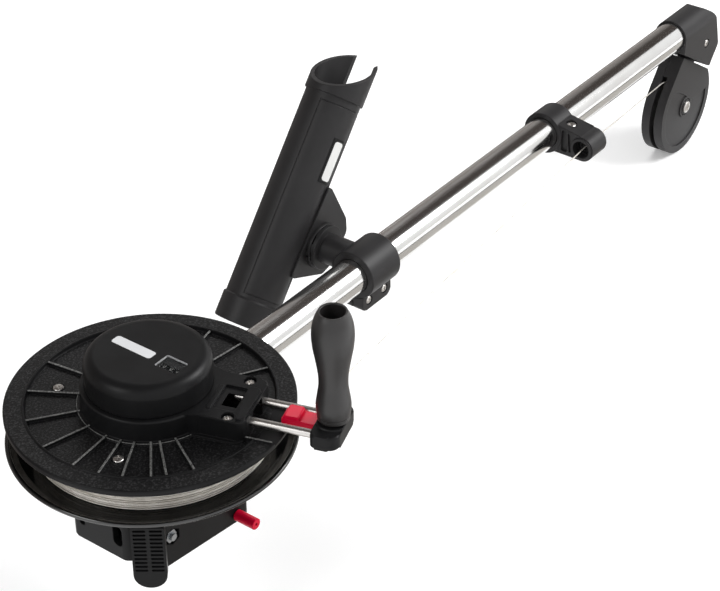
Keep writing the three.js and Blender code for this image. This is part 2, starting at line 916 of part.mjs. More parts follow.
function mountShoe() {
  const plate = slab(
    outline([
      [shoeAt.rear, shoe.left],
      [shoeAt.rear, leverBay.openLeft],
      [bayAt.openFront, leverBay.openLeft],
      [bayAt.openFront, rightFace(bayAt.openFront) + shoe.rightInset],
      [shoeAt.front, rightFace(shoeAt.front) + shoe.rightInset],
      [shoeAt.front, shoe.left],
    ]),
    0,
    shoe.height,
  );
  const pinSocket = rodY(
    pin.shankRadius + gap,
    rightFace(shoeAt.front),
    pin.tip + gap,
    smallSides,
    pinX,
    pin.z,
  );
  const screwHoles = [-1, 1].flatMap((side) =>
    [shoeSlot.screwLeft, shoeSlot.screwRight].map((y) =>
      post(shoeSlot.screwRadius, -overrun, shoe.height + overrun, tinySides, side * shoeSlot.screwX, y),
    ),
  );
  return cut(plate, pinSocket, ...screwHoles);
}

function spoolBody() {
  const inner = spool.drumRadius - spool.drumWall;
  const webBottom = spoolAt.webTop - spool.webThickness;
  const floorBottom = spoolAt.floorTop - spool.floorThickness;
  return turned(
    [
      [bush.radius + gap, spoolBottom],
      [spool.hubRadius, spoolBottom],
      [spool.hubRadius, webBottom],
      [inner, webBottom],
      [inner, floorBottom],
      [spoolAt.dishRadius, floorBottom],
      [spool.flangeRadius - spool.lip, spoolAt.flangeTop - spool.lip],
      [spool.flangeRadius, spoolAt.flangeTop - spool.lip / 2],
      [spool.flangeRadius - spool.lip / 2, spoolAt.flangeTop],
      [spool.flangeRadius - 2 * spool.lip, spoolAt.flangeTop - spool.lip / 4],
      [spoolAt.dishRadius, spoolAt.floorTop],
      [spool.drumRadius, spoolAt.floorTop],
      [spool.drumRadius, spoolAt.drumTop],
      [inner, spoolAt.drumTop],
      [inner, spoolAt.webTop],
      [spool.sleeveRadius, spoolAt.webTop],
      [spool.sleeveRadius, spoolAt.sleeveTop],
      [axle.radius + gap, spoolAt.sleeveTop],
      [axle.radius + gap, spoolBottom + bush.length + gap],
      [bush.radius + gap, spoolBottom + bush.length + gap],
    ],
    rimSides,
  );
}

function cableLayers() {
  const low = spoolAt.floorTop + gap;
  const high = spoolAt.drumTop - gap;
  return turned(
    [
      [spool.drumRadius + gap, low],
      [cableCoreRadius, low],
      [cableCoreRadius, high],
      [spool.drumRadius + gap, high],
    ],
    rimSides,
  );
}

// Least gap between a loop and the next one up, measured on the tube's own points
function leastLoopGap(geometry) {
  const places = geometry.getAttribute("position");
  const place = (_, i) => new THREE.Vector3().fromBufferAttribute(places, i);
  const points = Array.from({ length: places.count }, place);
  const first = points.filter((p) => p.z < windingBottom + cable.radius + gap && p.x > 0);
  let least = Infinity;
  for (const a of first) {
    const isAbove = (p) => p.z > a.z + windingPitch / 2 && p.distanceTo(a) < 2 * windingPitch;
    for (const b of points.filter(isAbove)) least = Math.min(least, a.distanceTo(b));
  }
  return least;
}

function cableWinding() {
  const tube = helixTube(
    windingRadius,
    cable.radius,
    windingPitch,
    cable.loops,
    windingBottom,
    cable.loopSteps,
    cable.tubeSides,
  );
  console.log("least gap between cable loops: " + leastLoopGap(tube).toFixed(3) + " mm");
  return tube;
}

function plateScrewPlaces() {
  const around = screwHeadings.map((heading) => {
    const turn = (heading - crank.heading) * degree;
    const x = plateScrew.circle * Math.cos(turn);
    const y = plateScrew.circle * Math.sin(turn);
    return { x, y, seat: plateScrewAt.seat };
  });
  const boss = [-1, 1].map((side) => ({
    x: plateScrew.bossAlong,
    y: side * plateScrew.bossAcross,
    seat: plateScrewAt.bossSeat,
  }));
  return [...around, ...boss];
}

function crankPlate() {
  const floor = crankAt.top - crank.recess;
  const hole = spool.sleeveRadius + gap + gap;
  const disc = turned(
    [
      [hole, crankAt.bottom],
      [crankAt.radius - edge, crankAt.bottom],
      [crankAt.radius, crankAt.bottom + edge],
      [crankAt.radius, crankAt.top - edge],
      [crankAt.radius - edge, crankAt.top],
      [crankAt.radius - crank.rimBand, crankAt.top],
      [crankAt.radius - crank.rimBand - crank.recess, floor],
      [crank.platformRadius - edge, floor],
      [crank.platformRadius - edge, crankAt.platformTop],
      [hole, crankAt.platformTop],
    ],
    rimSides,
  );
  const platform = turned(
    [
      [hole, floor - edge],
      [crank.platformRadius + edge, floor - edge],
      [crank.platformRadius, crankAt.platformTop - edge],
      [crank.platformRadius - edge, crankAt.platformTop],
      [hole, crankAt.platformTop],
    ],
    rimSides,
  );
  const halfWidth = crank.bossHalfWidth;
  const neckWide = halfWidth + crank.neckLength * crank.neckWideShare;
  const neckWaist = halfWidth + crank.neckLength * crank.neckWaistShare;
  const neckStart = Math.sqrt(crank.platformRadius ** 2 - halfWidth ** 2) - crank.neckLength;
  const neckMiddle = neckStart + crank.neckLength;
  const neckEnd = neckMiddle + crank.neckLength / 2;
  const bossInner = spool.sleeveRadius + crank.bossCorner;
  const boss = slab(
    roundedOutline(bossInner, crankAt.bossEnd, -halfWidth, halfWidth, crank.bossCorner),
    floor - edge,
    crankAt.platformTop,
  );
  const neck = slab(
    outline([
      [neckStart, -neckWide],
      [neckMiddle, -neckWaist],
      [neckEnd, -halfWidth],
      [neckEnd, halfWidth],
      [neckMiddle, neckWaist],
      [neckStart, neckWide],
    ]),
    floor - edge,
    crankAt.platformTop,
  );
  const bar = slab(
    roundedOutline(crankAt.barInner, crankAt.bossEnd - edge, crank.barNear, crank.barFar, edge),
    crankAt.platformTop - edge,
    crankAt.platformTop + crank.barHeight,
  );
  const ribs = ribHeadings.map((heading) =>
    block(
      plateRib.inner - plateRib.width,
      crankAt.ribOuter,
      -plateRib.width / 2,
      plateRib.width / 2,
      floor - edge,
      floor + plateRib.height,
    ).rotateZ((heading - crank.heading) * degree),
  );
  const ridges = [-1, 1].map((side) => {
    const near = side * crank.channelHalfWidth;
    const far = side * (crank.channelHalfWidth + crank.ridgeWidth);
    return block(
      crankAt.bossEnd - crank.bossCorner,
      Math.sqrt(crankAt.radius ** 2 - (crank.channelHalfWidth + crank.ridgeWidth) ** 2) - edge,
      Math.min(near, far),
      Math.max(near, far),
      floor - edge,
      crankAt.top + crank.ridgeHeight,
    );
  });
  const channel = block(
    crankAt.bossEnd,
    crankAt.radius + overrun,
    -crank.channelHalfWidth,
    crank.channelHalfWidth,
    crankAt.top - crank.channelDepth,
    crankAt.platformTop,
  );
  const bores = [-1, 1].map((side) =>
    rodX(
      rods.radius + gap,
      rods.guideInner,
      crankAt.bossEnd + overrun,
      smallSides,
      side * rods.spread,
      crankAt.rodZ,
    ),
  );
  const pocket = block(
    crank.pocketInner,
    crankAt.bossEnd + overrun,
    -crank.pocketHalfWidth,
    crank.pocketHalfWidth,
    crankAt.top - crank.channelDepth,
    crankAt.pocketCeiling,
  );
  const window = block(
    slotWindow.inner,
    slotWindow.outer,
    slotWindow.near,
    slotWindow.far,
    crankAt.rodZ,
    crankAt.platformTop + overrun,
  );
  // Under the window the pocket is open to the rear rod, whose end shows there
  const rodView = block(
    slotWindow.inner,
    slotWindow.outer,
    slotWindow.far,
    rods.spread,
    crankAt.rodZ - rods.radius,
    crankAt.rodZ + rods.radius,
  );
  const screwHoles = plateScrewPlaces().flatMap(({ x, y, seat }) => [
    post(plateScrew.shankRadius + gap, crankAt.bottom - overrun, seat + overrun, tinySides, x, y),
    post(plateScrew.pocketRadius, seat, crankAt.platformTop + crank.barHeight + overrun, smallSides, x, y),
  ]);
  const sleeveHole = post(hole, crankAt.bottom - overrun, crankAt.platformTop + overrun, midSides);
  return cut(
    join(disc, platform, neck, boss, bar, ...ribs, ...ridges),
    channel,
    pocket,
    window,
    rodView,
    ...bores,
    ...screwHoles,
    sleeveHole,
  );
}

function clutchRingShape() {
  const top = crankAt.bottom - gap;
  const ring = turned(
    [
      [clutchRing.inner, clutchRingBottom],
      [clutchRing.outer, clutchRingBottom],
      [clutchRing.outer, top],
      [clutchRing.inner, top],
    ],
    largeSides,
  );
  const holes = plateScrewPlaces().map(({ x, y }) =>
    post(plateScrew.shankRadius + gap, plateScrewAt.end - gap, top + overrun, tinySides, x, y),
  );
  return cut(ring, ...holes);
}

function plateScrewShape({ x, y, seat }) {
  const head = turned(
    [
      [0, seat + gap],
      [plateScrew.headRadius, seat + gap],
      [plateScrew.headRadius, seat + gap + plateScrew.headHeight / 2],
      [plateScrew.headRadius / 2, seat + gap + plateScrew.headHeight],
      [0, seat + gap + plateScrew.headHeight],
    ],
    smallSides,
  ).translate(x, y, 0);
  return join(head, post(plateScrew.shankRadius, plateScrewAt.end, seat + gap + gap, tinySides, x, y));
}

function endBlockShape() {
  const body = slab(
    roundedOutline(endBlockAt.inner, endBlockAt.outer, endBlock.near, endBlock.far, endBlock.corner),
    endBlockAt.bottom,
    endBlockAt.top,
  );
  const tongue = block(
    endBlockAt.tongueInner,
    endBlockAt.inner + edge,
    -endBlock.tongueHalfWidth,
    endBlock.tongueHalfWidth,
    endBlockAt.bottom,
    endBlockAt.bottom + endBlock.tongueThickness,
  );
  const sockets = [-1, 1].map((side) =>
    rodX(
      rods.radius + gap,
      endBlockAt.inner - overrun,
      endBlockAt.inner + endBlockAt.rodDepth + gap,
      smallSides,
      side * rods.spread,
      crankAt.rodZ,
    ),
  );
  const spindleHole = post(
    spindle.radius + gap,
    spindleAt.bottom - gap,
    endBlockAt.top + overrun,
    smallSides,
    spindleAt.x,
  );
  return cut(join(body, tongue), ...sockets, spindleHole);
}

function armRod(side) {
  return rodX(
    rods.radius,
    rods.inner,
    endBlockAt.inner + endBlockAt.rodDepth,
    smallSides,
    side * rods.spread,
    crankAt.rodZ,
  );
}

function armLatch() {
  const bar = block(
    latchAt.inner,
    latchAt.outer,
    -latch.halfWidth,
    latch.halfWidth,
    latchAt.bottom,
    latchAt.shelf,
  );
  const button = slab(
    roundedOutline(latchAt.buttonInner, latchAt.buttonOuter, -latch.halfWidth, latch.halfWidth, edge),
    latchAt.shelf - edge,
    latchAt.buttonTop,
  );
  return join(bar, button);
}

function latchSpringShape() {
  const low = endBlockAt.bottom + endBlock.tongueThickness + gap;
  const high = latchAt.bottom - gap;
  const r = latchSpring.wireRadius;
  const pitch = (high - low - 2 * r) / latchSpring.turns;
  const coil = helixTube(latchSpring.radius, r, pitch, latchSpring.turns, low + r, springSteps, springSides);
  return coil.translate(latchAt.middle, 0, 0);
}

function gripSpindle() {
  const headBottom = gripAt.seat + gap;
  const head = post(spindle.headRadius, headBottom, headBottom + spindle.headHeight, hexSides, spindleAt.x);
  return join(post(spindle.radius, spindleAt.bottom, headBottom + edge, smallSides, spindleAt.x), head);
}

function gripShape() {
  const bore = spindle.radius + gap;
  const waistToCrown = grip.swellShares.map((share) => {
    const blend = (1 - Math.cos(Math.PI * share)) / 2;
    return [
      grip.waistRadius + (grip.crownRadius - grip.waistRadius) * blend,
      gripAt.waist + (gripAt.crown - gripAt.waist) * share,
    ];
  });
  return turned(
    [
      [bore, gripAt.bottom],
      [grip.baseRadius, gripAt.bottom],
      [grip.bulgeRadius, gripAt.bulge],
      [grip.waistRadius, gripAt.waist],
      ...waistToCrown,
      [grip.crownRadius, gripAt.crown],
      [(grip.crownRadius + grip.rimRadius) / 2 + edge, (gripAt.crown + gripAt.top) / 2 + edge],
      [grip.rimRadius, gripAt.top],
      [grip.mouthRadius, gripAt.top],
      [grip.mouthRadius - edge / 2, gripAt.seat],
      [bore, gripAt.seat],
    ],
    midSides,
  ).translate(spindleAt.x, 0, 0);
}

function counterBaseShape() {
  const plate = post(counterAt.baseRadius, counterAt.baseBottom, counterAt.baseTop, largeSides);
  const legs = [-1, 1].map((side) => {
    const near = side * bridge.legInner;
    const far = side * bridge.halfLength;
    return block(
      Math.min(near, far),
      Math.max(near, far),
      -bridge.halfWidth,
      bridge.halfWidth,
      counterAt.baseTop - edge,
      counterAt.bridgeTop,
    );
  });
  const deck = block(
    -bridge.halfLength,
    bridge.halfLength,
    -bridge.halfWidth,
    bridge.halfWidth,
    counterAt.bridgeBottom,
    counterAt.bridgeTop,
  );
  const tab = block(
    digits.x - shaftPost.halfWidth,
    digits.x + shaftPost.halfWidth,
    -bridge.tabReach,
    0,
    counterAt.bridgeBottom,
    counterAt.bridgeTop,
  );
  const innerPost = block(
    digits.x - shaftPost.halfWidth,
    digits.x + shaftPost.halfWidth,
    shaftPost.inner - shaftPost.thickness,
    shaftPost.inner,
    counterAt.bridgeTop - edge,
    counterAt.postTop,
  );
  const outerPost = block(
    digits.x - shaftPost.halfWidth,
    digits.x + shaftPost.halfWidth,
    shaftPost.outer - shaftPost.thickness,
    shaftPost.outer,
    counterAt.baseTop - edge,
    counterAt.postTop,
  );
  const jackPost = block(
    jackArm.x,
    jackArm.x + jackArm.halfWidth,
    jack.y - jackArm.halfWidth,
    -bridge.halfWidth + edge,
    counterAt.baseTop - edge,
    counterAt.jackTop,
  );
  const arm = block(
    jack.x - jackArm.halfWidth,
    jackArm.x + edge,
    jack.y - jackArm.halfWidth,
    jack.y + jackArm.halfWidth,
    counterAt.armBottom,
    counterAt.jackTop,
  );
  const sleeveHole = post(
    spool.sleeveRadius + gap + gap,
    counterAt.baseBottom - overrun,
    counterAt.baseTop + overrun,
    midSides,
  );
  const axleHole = post(
    axle.radius + gap,
    counterAt.bridgeBottom - overrun,
    counterAt.bridgeTop + overrun,
    smallSides,
  );
  const jackHoleLow = post(
    jack.journal + gap,
    counterAt.baseBottom + gap,
    counterAt.baseTop + overrun,
    tinySides,
    jack.x,
    jack.y,
  );
  const jackHoleHigh = post(
    jack.journal + gap,
    counterAt.armBottom - overrun,
    counterAt.jackTop + overrun,
    tinySides,
    jack.x,
    jack.y,
  );
  const shaftHole = rodY(
    digits.shaftRadius + gap,
    shaftPost.outer - shaftPost.thickness - overrun,
    shaftPost.inner + overrun,
    tinySides,
    digits.x,
    counterAt.digitsZ,
  );
  return cut(
    join(plate, ...legs, deck, tab, innerPost, outerPost, jackPost, arm),
    sleeveHole,
    axleHole,
    jackHoleLow,
    jackHoleHigh,
    shaftHole,
  );
}

function driveGearShape() {
  const teeth = gearOutline(driveGear.teeth, driveGear.root, driveGear.tip, jackHeading());
  const low = counterAt.gearBottom;
  const high = counterAt.gearTop;
  const bore = post(spool.sleeveRadius + gap, low - overrun, high + overrun, smallSides);
  return cut(slab(teeth, low, high), bore);
}

function jackHeading() {
  return Math.atan2(jack.y, jack.x);
}

// A single-start worm as one closed skin: its radius follows the thread's ramp and crest
function wormShape() {
  const positions = [];
  const index = [];
  const phase = counterAt.digitsZ + wormLead / 2;
  for (let level = 0; level <= worm.levels; level++) {
    const z = counterAt.wormBottom + ((counterAt.wormTop - counterAt.wormBottom) * level) / worm.levels;
    for (let k = 0; k < worm.steps; k++) {
      const turn = (2 * Math.PI * k) / worm.steps;
      const along = (z - phase) / wormLead - (turn - Math.PI) / (2 * Math.PI);
      const away = Math.abs(along - Math.round(along));
      const ramp = Math.min(1, Math.max(0, (worm.footShare - away) / (worm.footShare - worm.crestShare)));
      const r = worm.root + (worm.tip - worm.root) * ramp;
      positions.push(r * Math.cos(turn), r * Math.sin(turn), z);
    }
  }
  for (let level = 0; level < worm.levels; level++) {
    for (let k = 0; k < worm.steps; k++) {
      const a = level * worm.steps + k;
      const b = level * worm.steps + ((k + 1) % worm.steps);
      index.push(a, b, a + worm.steps, b, b + worm.steps, a + worm.steps);
    }
  }
  const top = worm.levels * worm.steps;
  for (let k = 1; k < worm.steps - 1; k++) {
    index.push(0, k + 1, k, top, top + k, top + k + 1);
  }
  const geometry = new THREE.BufferGeometry();
  geometry.setAttribute("position", new THREE.Float32BufferAttribute(positions, 3));
  geometry.setIndex(index);
  return geometry;
}

function counterJack() {
  const toothTurn = Math.PI / jack.teeth;
  const gear = slab(
    gearOutline(jack.teeth, jack.root, jack.tip, jackHeading() + Math.PI + toothTurn),
    counterAt.gearBottom,
    counterAt.gearTop,
  );
  const shaft = post(jack.journal, counterAt.baseBottom + gap + gap, counterAt.jackTop - gap, tinySides);
  return join(gear, shaft, wormShape()).translate(jack.x, jack.y, 0);
}

function counterShaft() {
  const wheelMiddle = jack.y;
  const wheel = slabY(
    gearOutline(wormWheel.teeth, wormWheel.root, wormWheel.tip, 0),
    wheelMiddle - wormWheel.width / 2,
    wheelMiddle + wormWheel.width / 2,
  ).translate(digits.x, 0, counterAt.digitsZ);
  const shaft = rodY(
    digits.shaftRadius,
    shaftPost.outer - shaftPost.thickness,
    shaftPost.inner,
    tinySides,
    digits.x,
    counterAt.digitsZ,
  );
  return join(wheel, shaft);
}

function digitWheel(place) {
  const left = digits.first - place * digits.pitch;
  const wheel = rodY(digits.radius, left - digits.width, left, midSides, digits.x, counterAt.digitsZ);
  const bore = rodY(
    digits.shaftRadius + gap,
    left - digits.width - overrun,
    left + overrun,
    tinySides,
    digits.x,
    counterAt.digitsZ,
  );
  return cut(wheel, bore);
}

function counterCover() {
  const shell = turned(
    [
      [cover.radius - cover.wall, counterAt.baseBottom],
      [cover.radius, counterAt.baseBottom],
      [cover.radius, coverAt.shoulder],
      [cover.radius - cover.wall / 2, coverAt.shoulder + (coverAt.top - coverAt.shoulder) / 2],
      [coverAt.crown + cover.wall, coverAt.top - cover.wall / 2],
      [coverAt.crown - cover.wall, coverAt.top],
      [0, coverAt.top],
      [0, coverAt.top - cover.wall],
      [coverAt.crown - cover.wall, coverAt.top - cover.wall],
      [cover.radius - cover.wall, coverAt.shoulder],
    ],
    rimSides,
  );
  const recess = slab(
    roundedOutline(
      counterWindow.rear,
      counterWindow.front,
      counterWindow.right,
      counterWindow.left,
      counterWindow.corner,
    ),
    coverAt.top - counterWindow.depth,
    coverAt.top + overrun,
  );
  const opening = block(
    counterWindow.rear + counterWindow.ledge,
    counterWindow.front - counterWindow.ledge,
    counterWindow.right + counterWindow.ledge,
    counterWindow.left - counterWindow.ledge,
    coverAt.top - cover.wall - overrun,
    coverAt.top,
  );
  return cut(shell, recess, opening);
}

function windowPane() {
  const low = coverAt.top - counterWindow.depth + gap;
  return slab(
    roundedOutline(
      counterWindow.rear + gap,
      counterWindow.front - gap,
      counterWindow.right + gap,
      counterWindow.left - gap,
      counterWindow.corner,
    ),
    low,
    low + counterWindow.thickness,
  );
}

// Latch lever: a grooved finger plate on an arm that turns about the hinge bolt
function leverShape() {
  const heading = lever.heading * degree;
  const inner = lever.faceOut - lever.thickness;
  const half = lever.width / 2;
  const armInset = lever.endRadius * lever.armInsetShare;
  const front = roundedOutline(-half, half, lever.bottom, lever.top + lever.endRadius, lever.endRadius);
  const plate = common(
    slabX(front, inner, lever.faceOut),
    block(inner - overrun, lever.faceOut + overrun, -lever.width, lever.width, 0, lever.top),
  );
  const grooves = [];
  for (let row = 0; row < lever.ribRows; row++) {
    const low = lever.firstRib + row * lever.ribPitch;
    for (const side of [-1, 1]) {
      const near = side * (lever.spine / 2);
      const far = side * (lever.spine / 2 + lever.ribLength);
      grooves.push(
        block(
          lever.faceOut - lever.ribDepth,
          lever.faceOut + overrun,
          Math.min(near, far),
          Math.max(near, far),
          low,
          low + lever.ribHeight,
        ),
      );
    }
  }
  const handle = cut(plate, ...grooves).rotateZ(heading);
  const place = (rho, across) => [
    rho * Math.cos(heading) - across * Math.sin(heading),
    rho * Math.sin(heading) + across * Math.cos(heading),
  ];
  const eyeRight = leverEyeRight();
  const eyeLeft = eyeRight + lever.eyeLength;
  const arm = slab(
    outline([
      [bayAt.hingeX, eyeRight],
      [bayAt.openFront - lever.swingGap, eyeRight],
      place(inner + edge, half - armInset),
      place(inner + edge, -half + armInset),
      [bayAt.hingeX - lever.eyeRadius * lever.neckShare, eyeLeft],
      [bayAt.hingeX, eyeLeft],
    ]),
    lever.hingeZ - lever.armHalfHeight,
    lever.hingeZ + lever.armHalfHeight,
  );
  const eye = rodY(lever.eyeRadius, eyeRight, eyeLeft, smallSides, bayAt.hingeX, lever.hingeZ);
  const bore = rodY(
    lever.boltRadius + gap,
    eyeRight - overrun,
    eyeLeft + overrun,
    smallSides,
    bayAt.hingeX,
    lever.hingeZ,
  );
  return cut(join(handle, arm, eye), bore);
}

function leverEyeRight() {
  return rightFace(bayAt.hingeX) + frame.wall + gap + lever.eyeInset;
}

function leverBolt() {
  const seat = rightFace(bayAt.hingeX) + leverNut.pocketDepth;
  const cheekFar = leverBay.left + leverBay.cheek;
  const shank = rodY(
    lever.boltRadius,
    seat - gap - leverNut.thickness - edge,
    cheekFar + gap + edge,
    smallSides,
    bayAt.hingeX,
    lever.hingeZ,
  );
  const head = rodY(
    leverNut.acrossRadius,
    cheekFar + gap,
    cheekFar + gap + leverNut.thickness,
    hexSides,
    bayAt.hingeX,
    lever.hingeZ,
  );
  return join(shank, head);
}

function leverNutShape() {
  const seat = rightFace(bayAt.hingeX) + leverNut.pocketDepth;
  const nut = rodY(
    leverNut.acrossRadius,
    seat - gap - leverNut.thickness,
    seat - gap,
    hexSides,
    bayAt.hingeX,
    lever.hingeZ,
  );
  const bore = rodY(
    lever.boltRadius + gap,
    seat - gap - leverNut.thickness - overrun,
    seat + overrun,
    smallSides,
    bayAt.hingeX,
    lever.hingeZ,
  );
  return cut(nut, bore);
}

function leverSpringShape() {
  const start = leverEyeRight() + lever.eyeLength + gap + leverSpring.wireRadius;
  const coilRadius = lever.boltRadius + gap + leverSpring.wireRadius;
  const coil = helixTube(
    coilRadius,
    leverSpring.wireRadius,
    leverSpring.pitch,
    leverSpring.turns,
    0,
    springSteps,
    springSides,
  );
  return coil.rotateX(-quarter).translate(bayAt.hingeX, start, lever.hingeZ);
}

// Lock pin: a red sleeve outside the frame, its shank through the wall into the shoe
function lockPin() {
  const face = rightFace(pinX + pin.radius) - gap;
  const sleeve = rodY(pin.radius, pin.outEnd, face, midSides, pinX, pin.z);
  const shank = rodY(pin.shankRadius, face - edge, pin.tip, smallSides, pinX, pin.z);
  const eye = rodY(pin.eyeRadius, pin.outEnd - overrun, pin.outEnd + pin.eyeDepth, tinySides, pinX, pin.z);
  return cut(join(sleeve, shank), eye);
}

function clampScrewSeat() {
  return boom.y - clamp.earHalf + clamp.screwHeadHeight;
}

function notchTools(faceY, depth) {
  return Array.from({ length: clamp.notches }, (_, i) => {
    const turn = (2 * Math.PI * i) / clamp.notches;
    const halfWidth = clamp.ringRadius * Math.sin(Math.PI / clamp.notches / 2);
    return block(
      clamp.postRadius + edge,
      clamp.ringRadius + overrun,
      faceY - depth,
      faceY + overrun,
      -halfWidth,
      halfWidth,
    )
      .rotateY(turn)
      .translate(clamp.postX, 0, clampAt.postZ);
  });
}

function holderClamp() {
  const band = rodX(clamp.radius, clampAt.rear, clampAt.front, largeSides, boom.y, boom.z);
  const ears = block(
    clampAt.rear,
    clampAt.front,
    boom.y - clamp.earHalf,
    boom.y + clamp.earHalf,
    clampAt.earBottom,
    boom.z,
  );
  const stem = rodY(
    clamp.postRadius,
    boom.y,
    clampAt.ringInner + edge,
    midSides,
    clamp.postX,
    clampAt.postZ,
  );
  const ring = rodY(
    clamp.ringRadius,
    clampAt.ringInner,
    clampAt.ringOuter,
    largeSides,
    clamp.postX,
    clampAt.postZ,
  );
  const bore = rodX(
    boom.radius + gap,
    clampAt.rear - overrun,
    clampAt.front + overrun,
    largeSides,
    boom.y,
    boom.z,
  );
  const split = block(
    clampAt.rear - overrun,
    clampAt.front + overrun,
    boom.y - clamp.split,
    boom.y + clamp.split,
    clampAt.earBottom - overrun,
    boom.z,
  );
  const screwTools = clampAt.screwPlaces.map((x) =>
    join(
      rodY(
        clamp.screwRadius + gap,
        clampScrewSeat() - overrun,
        boom.y + clamp.earHalf + overrun,
        tinySides,
        x,
        clampAt.screwZ,
      ),
      rodY(
        clamp.screwHead + gap,
        boom.y - clamp.earHalf - overrun,
        clampScrewSeat(),
        smallSides,
        x,
        clampAt.screwZ,
      ),
    ),
  );
  const boltHole = rodY(
    holderBolt.radius + gap,
    clampAt.ringOuter - holderBolt.depth - gap,
    clampAt.ringOuter + overrun,
    smallSides,
    clamp.postX,
    clampAt.postZ,
  );
  const notches = notchTools(clampAt.ringOuter, clamp.notchDepth);
  return cut(join(band, ears, stem, ring), bore, split, ...screwTools, boltHole, ...notches);
}

function clampScrew(x) {
  const seat = clampScrewSeat() - gap;
  const head = rodY(clamp.screwHead, seat - clamp.screwHeadHeight, seat, smallSides, x, clampAt.screwZ);
  const shank = rodY(clamp.screwRadius, seat - edge, boom.y + clamp.earHalf, tinySides, x, clampAt.screwZ);
  return join(head, shank);
}

function rodHolder() {
  const alongTube = (shape) =>
    shape.rotateY(quarter - holder.lean * degree).translate(holderAt.footX, holderAt.y, holderAt.footZ);
  const tube = turned(
    [
      [holder.boreRadius, 0],
      [holder.collarRadius, 0],
      [holder.collarRadius, holder.collarLength],
      [holder.radius, holder.collarLength + edge],
      [holder.radius, holder.length - holder.topCollar],
      [holder.collarRadius, holder.length - holder.topCollar],
      [holder.collarRadius, holderAt.highest],
      [holder.boreRadius, holderAt.highest],
    ],
    largeSides,
  );
  const slotted = alongTube(cut(tube, mouthCutter(), slotCutter()));
  const corners = holder.gussetShares.map(([along, up]) => [
    clamp.postX + along * holder.gussetReach,
    clampAt.postZ + up * holder.gussetReach,
  ]);
  const gusset = slabY(outline(corners), holderAt.hubOuter - holder.plateThickness, holderAt.hubOuter);
  const hub = rodY(
    holder.hubRadius,
    clampAt.ringOuter + gap,
    holderAt.hubOuter,
    largeSides,
    clamp.postX,
    clampAt.postZ,
  );
  const bolt = rodY(
    holderBolt.radius + gap,
    clampAt.ringOuter - overrun,
    holderAt.hubOuter + overrun,
    smallSides,
    clamp.postX,
    clampAt.postZ,
  );
  const clearBore = alongTube(post(holder.boreRadius, -overrun, holderAt.highest + overrun, largeSides));
  return cut(join(slotted, gusset, hub), bolt, clearBore);
}

// The mouth is cut askew, so that its rim is highest on the tube's underside
function mouthCutter() {
  const reach = 2 * holder.collarRadius;
  return block(-reach, reach, -reach, reach, 0, reach)
    .rotateY(-holder.mouthLean * degree)
    .translate(0, 0, holder.length);
}

// The notch in the tube's mouth: a wide slot with a rounded foot, opening to one side
function slotCutter() {
  const half = holder.slotWidth / 2;
  const foot = holder.length - holder.slotDepth + half;
  const straight = block(0, holder.collarRadius * 2, -half, half, foot, holderAt.highest + overrun);
  const round = rodX(half, 0, holder.collarRadius * 2, midSides, 0, foot);
  return join(straight, round).rotateZ(holder.slotHeading * degree);
}

function holderBoltShape() {
  const seat = holderAt.hubOuter + gap;
  const shank = rodY(
    holderBolt.radius,
    clampAt.ringOuter - holderBolt.depth,
    seat + edge,
    smallSides,
    clamp.postX,
    clampAt.postZ,
  );
  const head = rodY(
    holderBolt.headRadius,
    seat,
    seat + holderBolt.headHeight,
    hexSides,
    clamp.postX,
    clampAt.postZ,
  );
  return join(shank, head);
}

// The guide's arm from the side: level below, sloping down above, and round about the cable's hole
function guideArmOutline() {
  const end = Array.from({ length: guide.endSteps + 1 }, (_, i) => {
    const turn = -quarter - (guide.endTurn * degree * i) / guide.endSteps;
    return [guideAt.holeY + guide.endRadius * Math.cos(turn), guideAt.holeZ + guide.endRadius * Math.sin(turn)];
  });
  const shoulderY = boom.y - guide.shoulder;
  return outline([[boom.y, guideAt.bottom], ...end, [shoulderY, guideAt.top], [boom.y, guideAt.top]]);
}

function cableGuide() {
  const band = rodX(guide.radius, guideAt.rear, guideAt.front, largeSides, boom.y, boom.z);
  const arm = slabX(guideArmOutline(), guideAt.rear + edge, guideAt.front - edge);
  const bore = rodX(
    boom.radius + gap,
    guideAt.rear - overrun,
    guideAt.front + overrun,
    largeSides,
    boom.y,
    boom.z,
  );
  const eyeletSeat = rodX(
    eyelet.outer + gap,
    guideAt.rear - overrun,
    guideAt.front + overrun,
    midSides,
    guideAt.holeY,
    guideAt.holeZ,
  );
  const flare = rodX(
    guide.flareRadius,
    guideAt.rear - overrun,
    guide.x - eyelet.length / 2 - gap,
    midSides,
    guideAt.holeY,
    guideAt.holeZ,
  );
  const outFlare = rodX(
    guide.flareRadius,
    guide.x + eyelet.length / 2 + gap,
    guideAt.front + overrun,
    midSides,
    guideAt.holeY,
    guideAt.holeZ,
  );
  const screwHole = post(
    guide.screwRadius + gap,
    guideAt.bottom - overrun,
    guideAt.top + overrun,
    tinySides,
    guide.x,
    guideAt.screwY,
  );
  const sink = post(
    guide.screwHead + gap,
    guideAt.top - guide.screwSink,
    guideAt.top + overrun,
    smallSides,
    guide.x,
    guideAt.screwY,
  );
  return cut(join(band, arm), bore, eyeletSeat, flare, outFlare, screwHole, sink);
}

function guideEyelet() {
  const ring = turned(
    [
      [eyelet.inner, -eyelet.length / 2],
      [eyelet.outer, -eyelet.length / 2],
      [eyelet.outer, eyelet.length / 2 + gap],
      [eyelet.flange, eyelet.length / 2 + gap + gap],
      [eyelet.flange, eyelet.length / 2 + gap + eyelet.flangeThickness],
      [eyelet.inner, eyelet.length / 2 + gap + eyelet.flangeThickness],
    ],
    midSides,
  );
  return ring.rotateY(-quarter).translate(guide.x, guideAt.holeY, guideAt.holeZ);
}

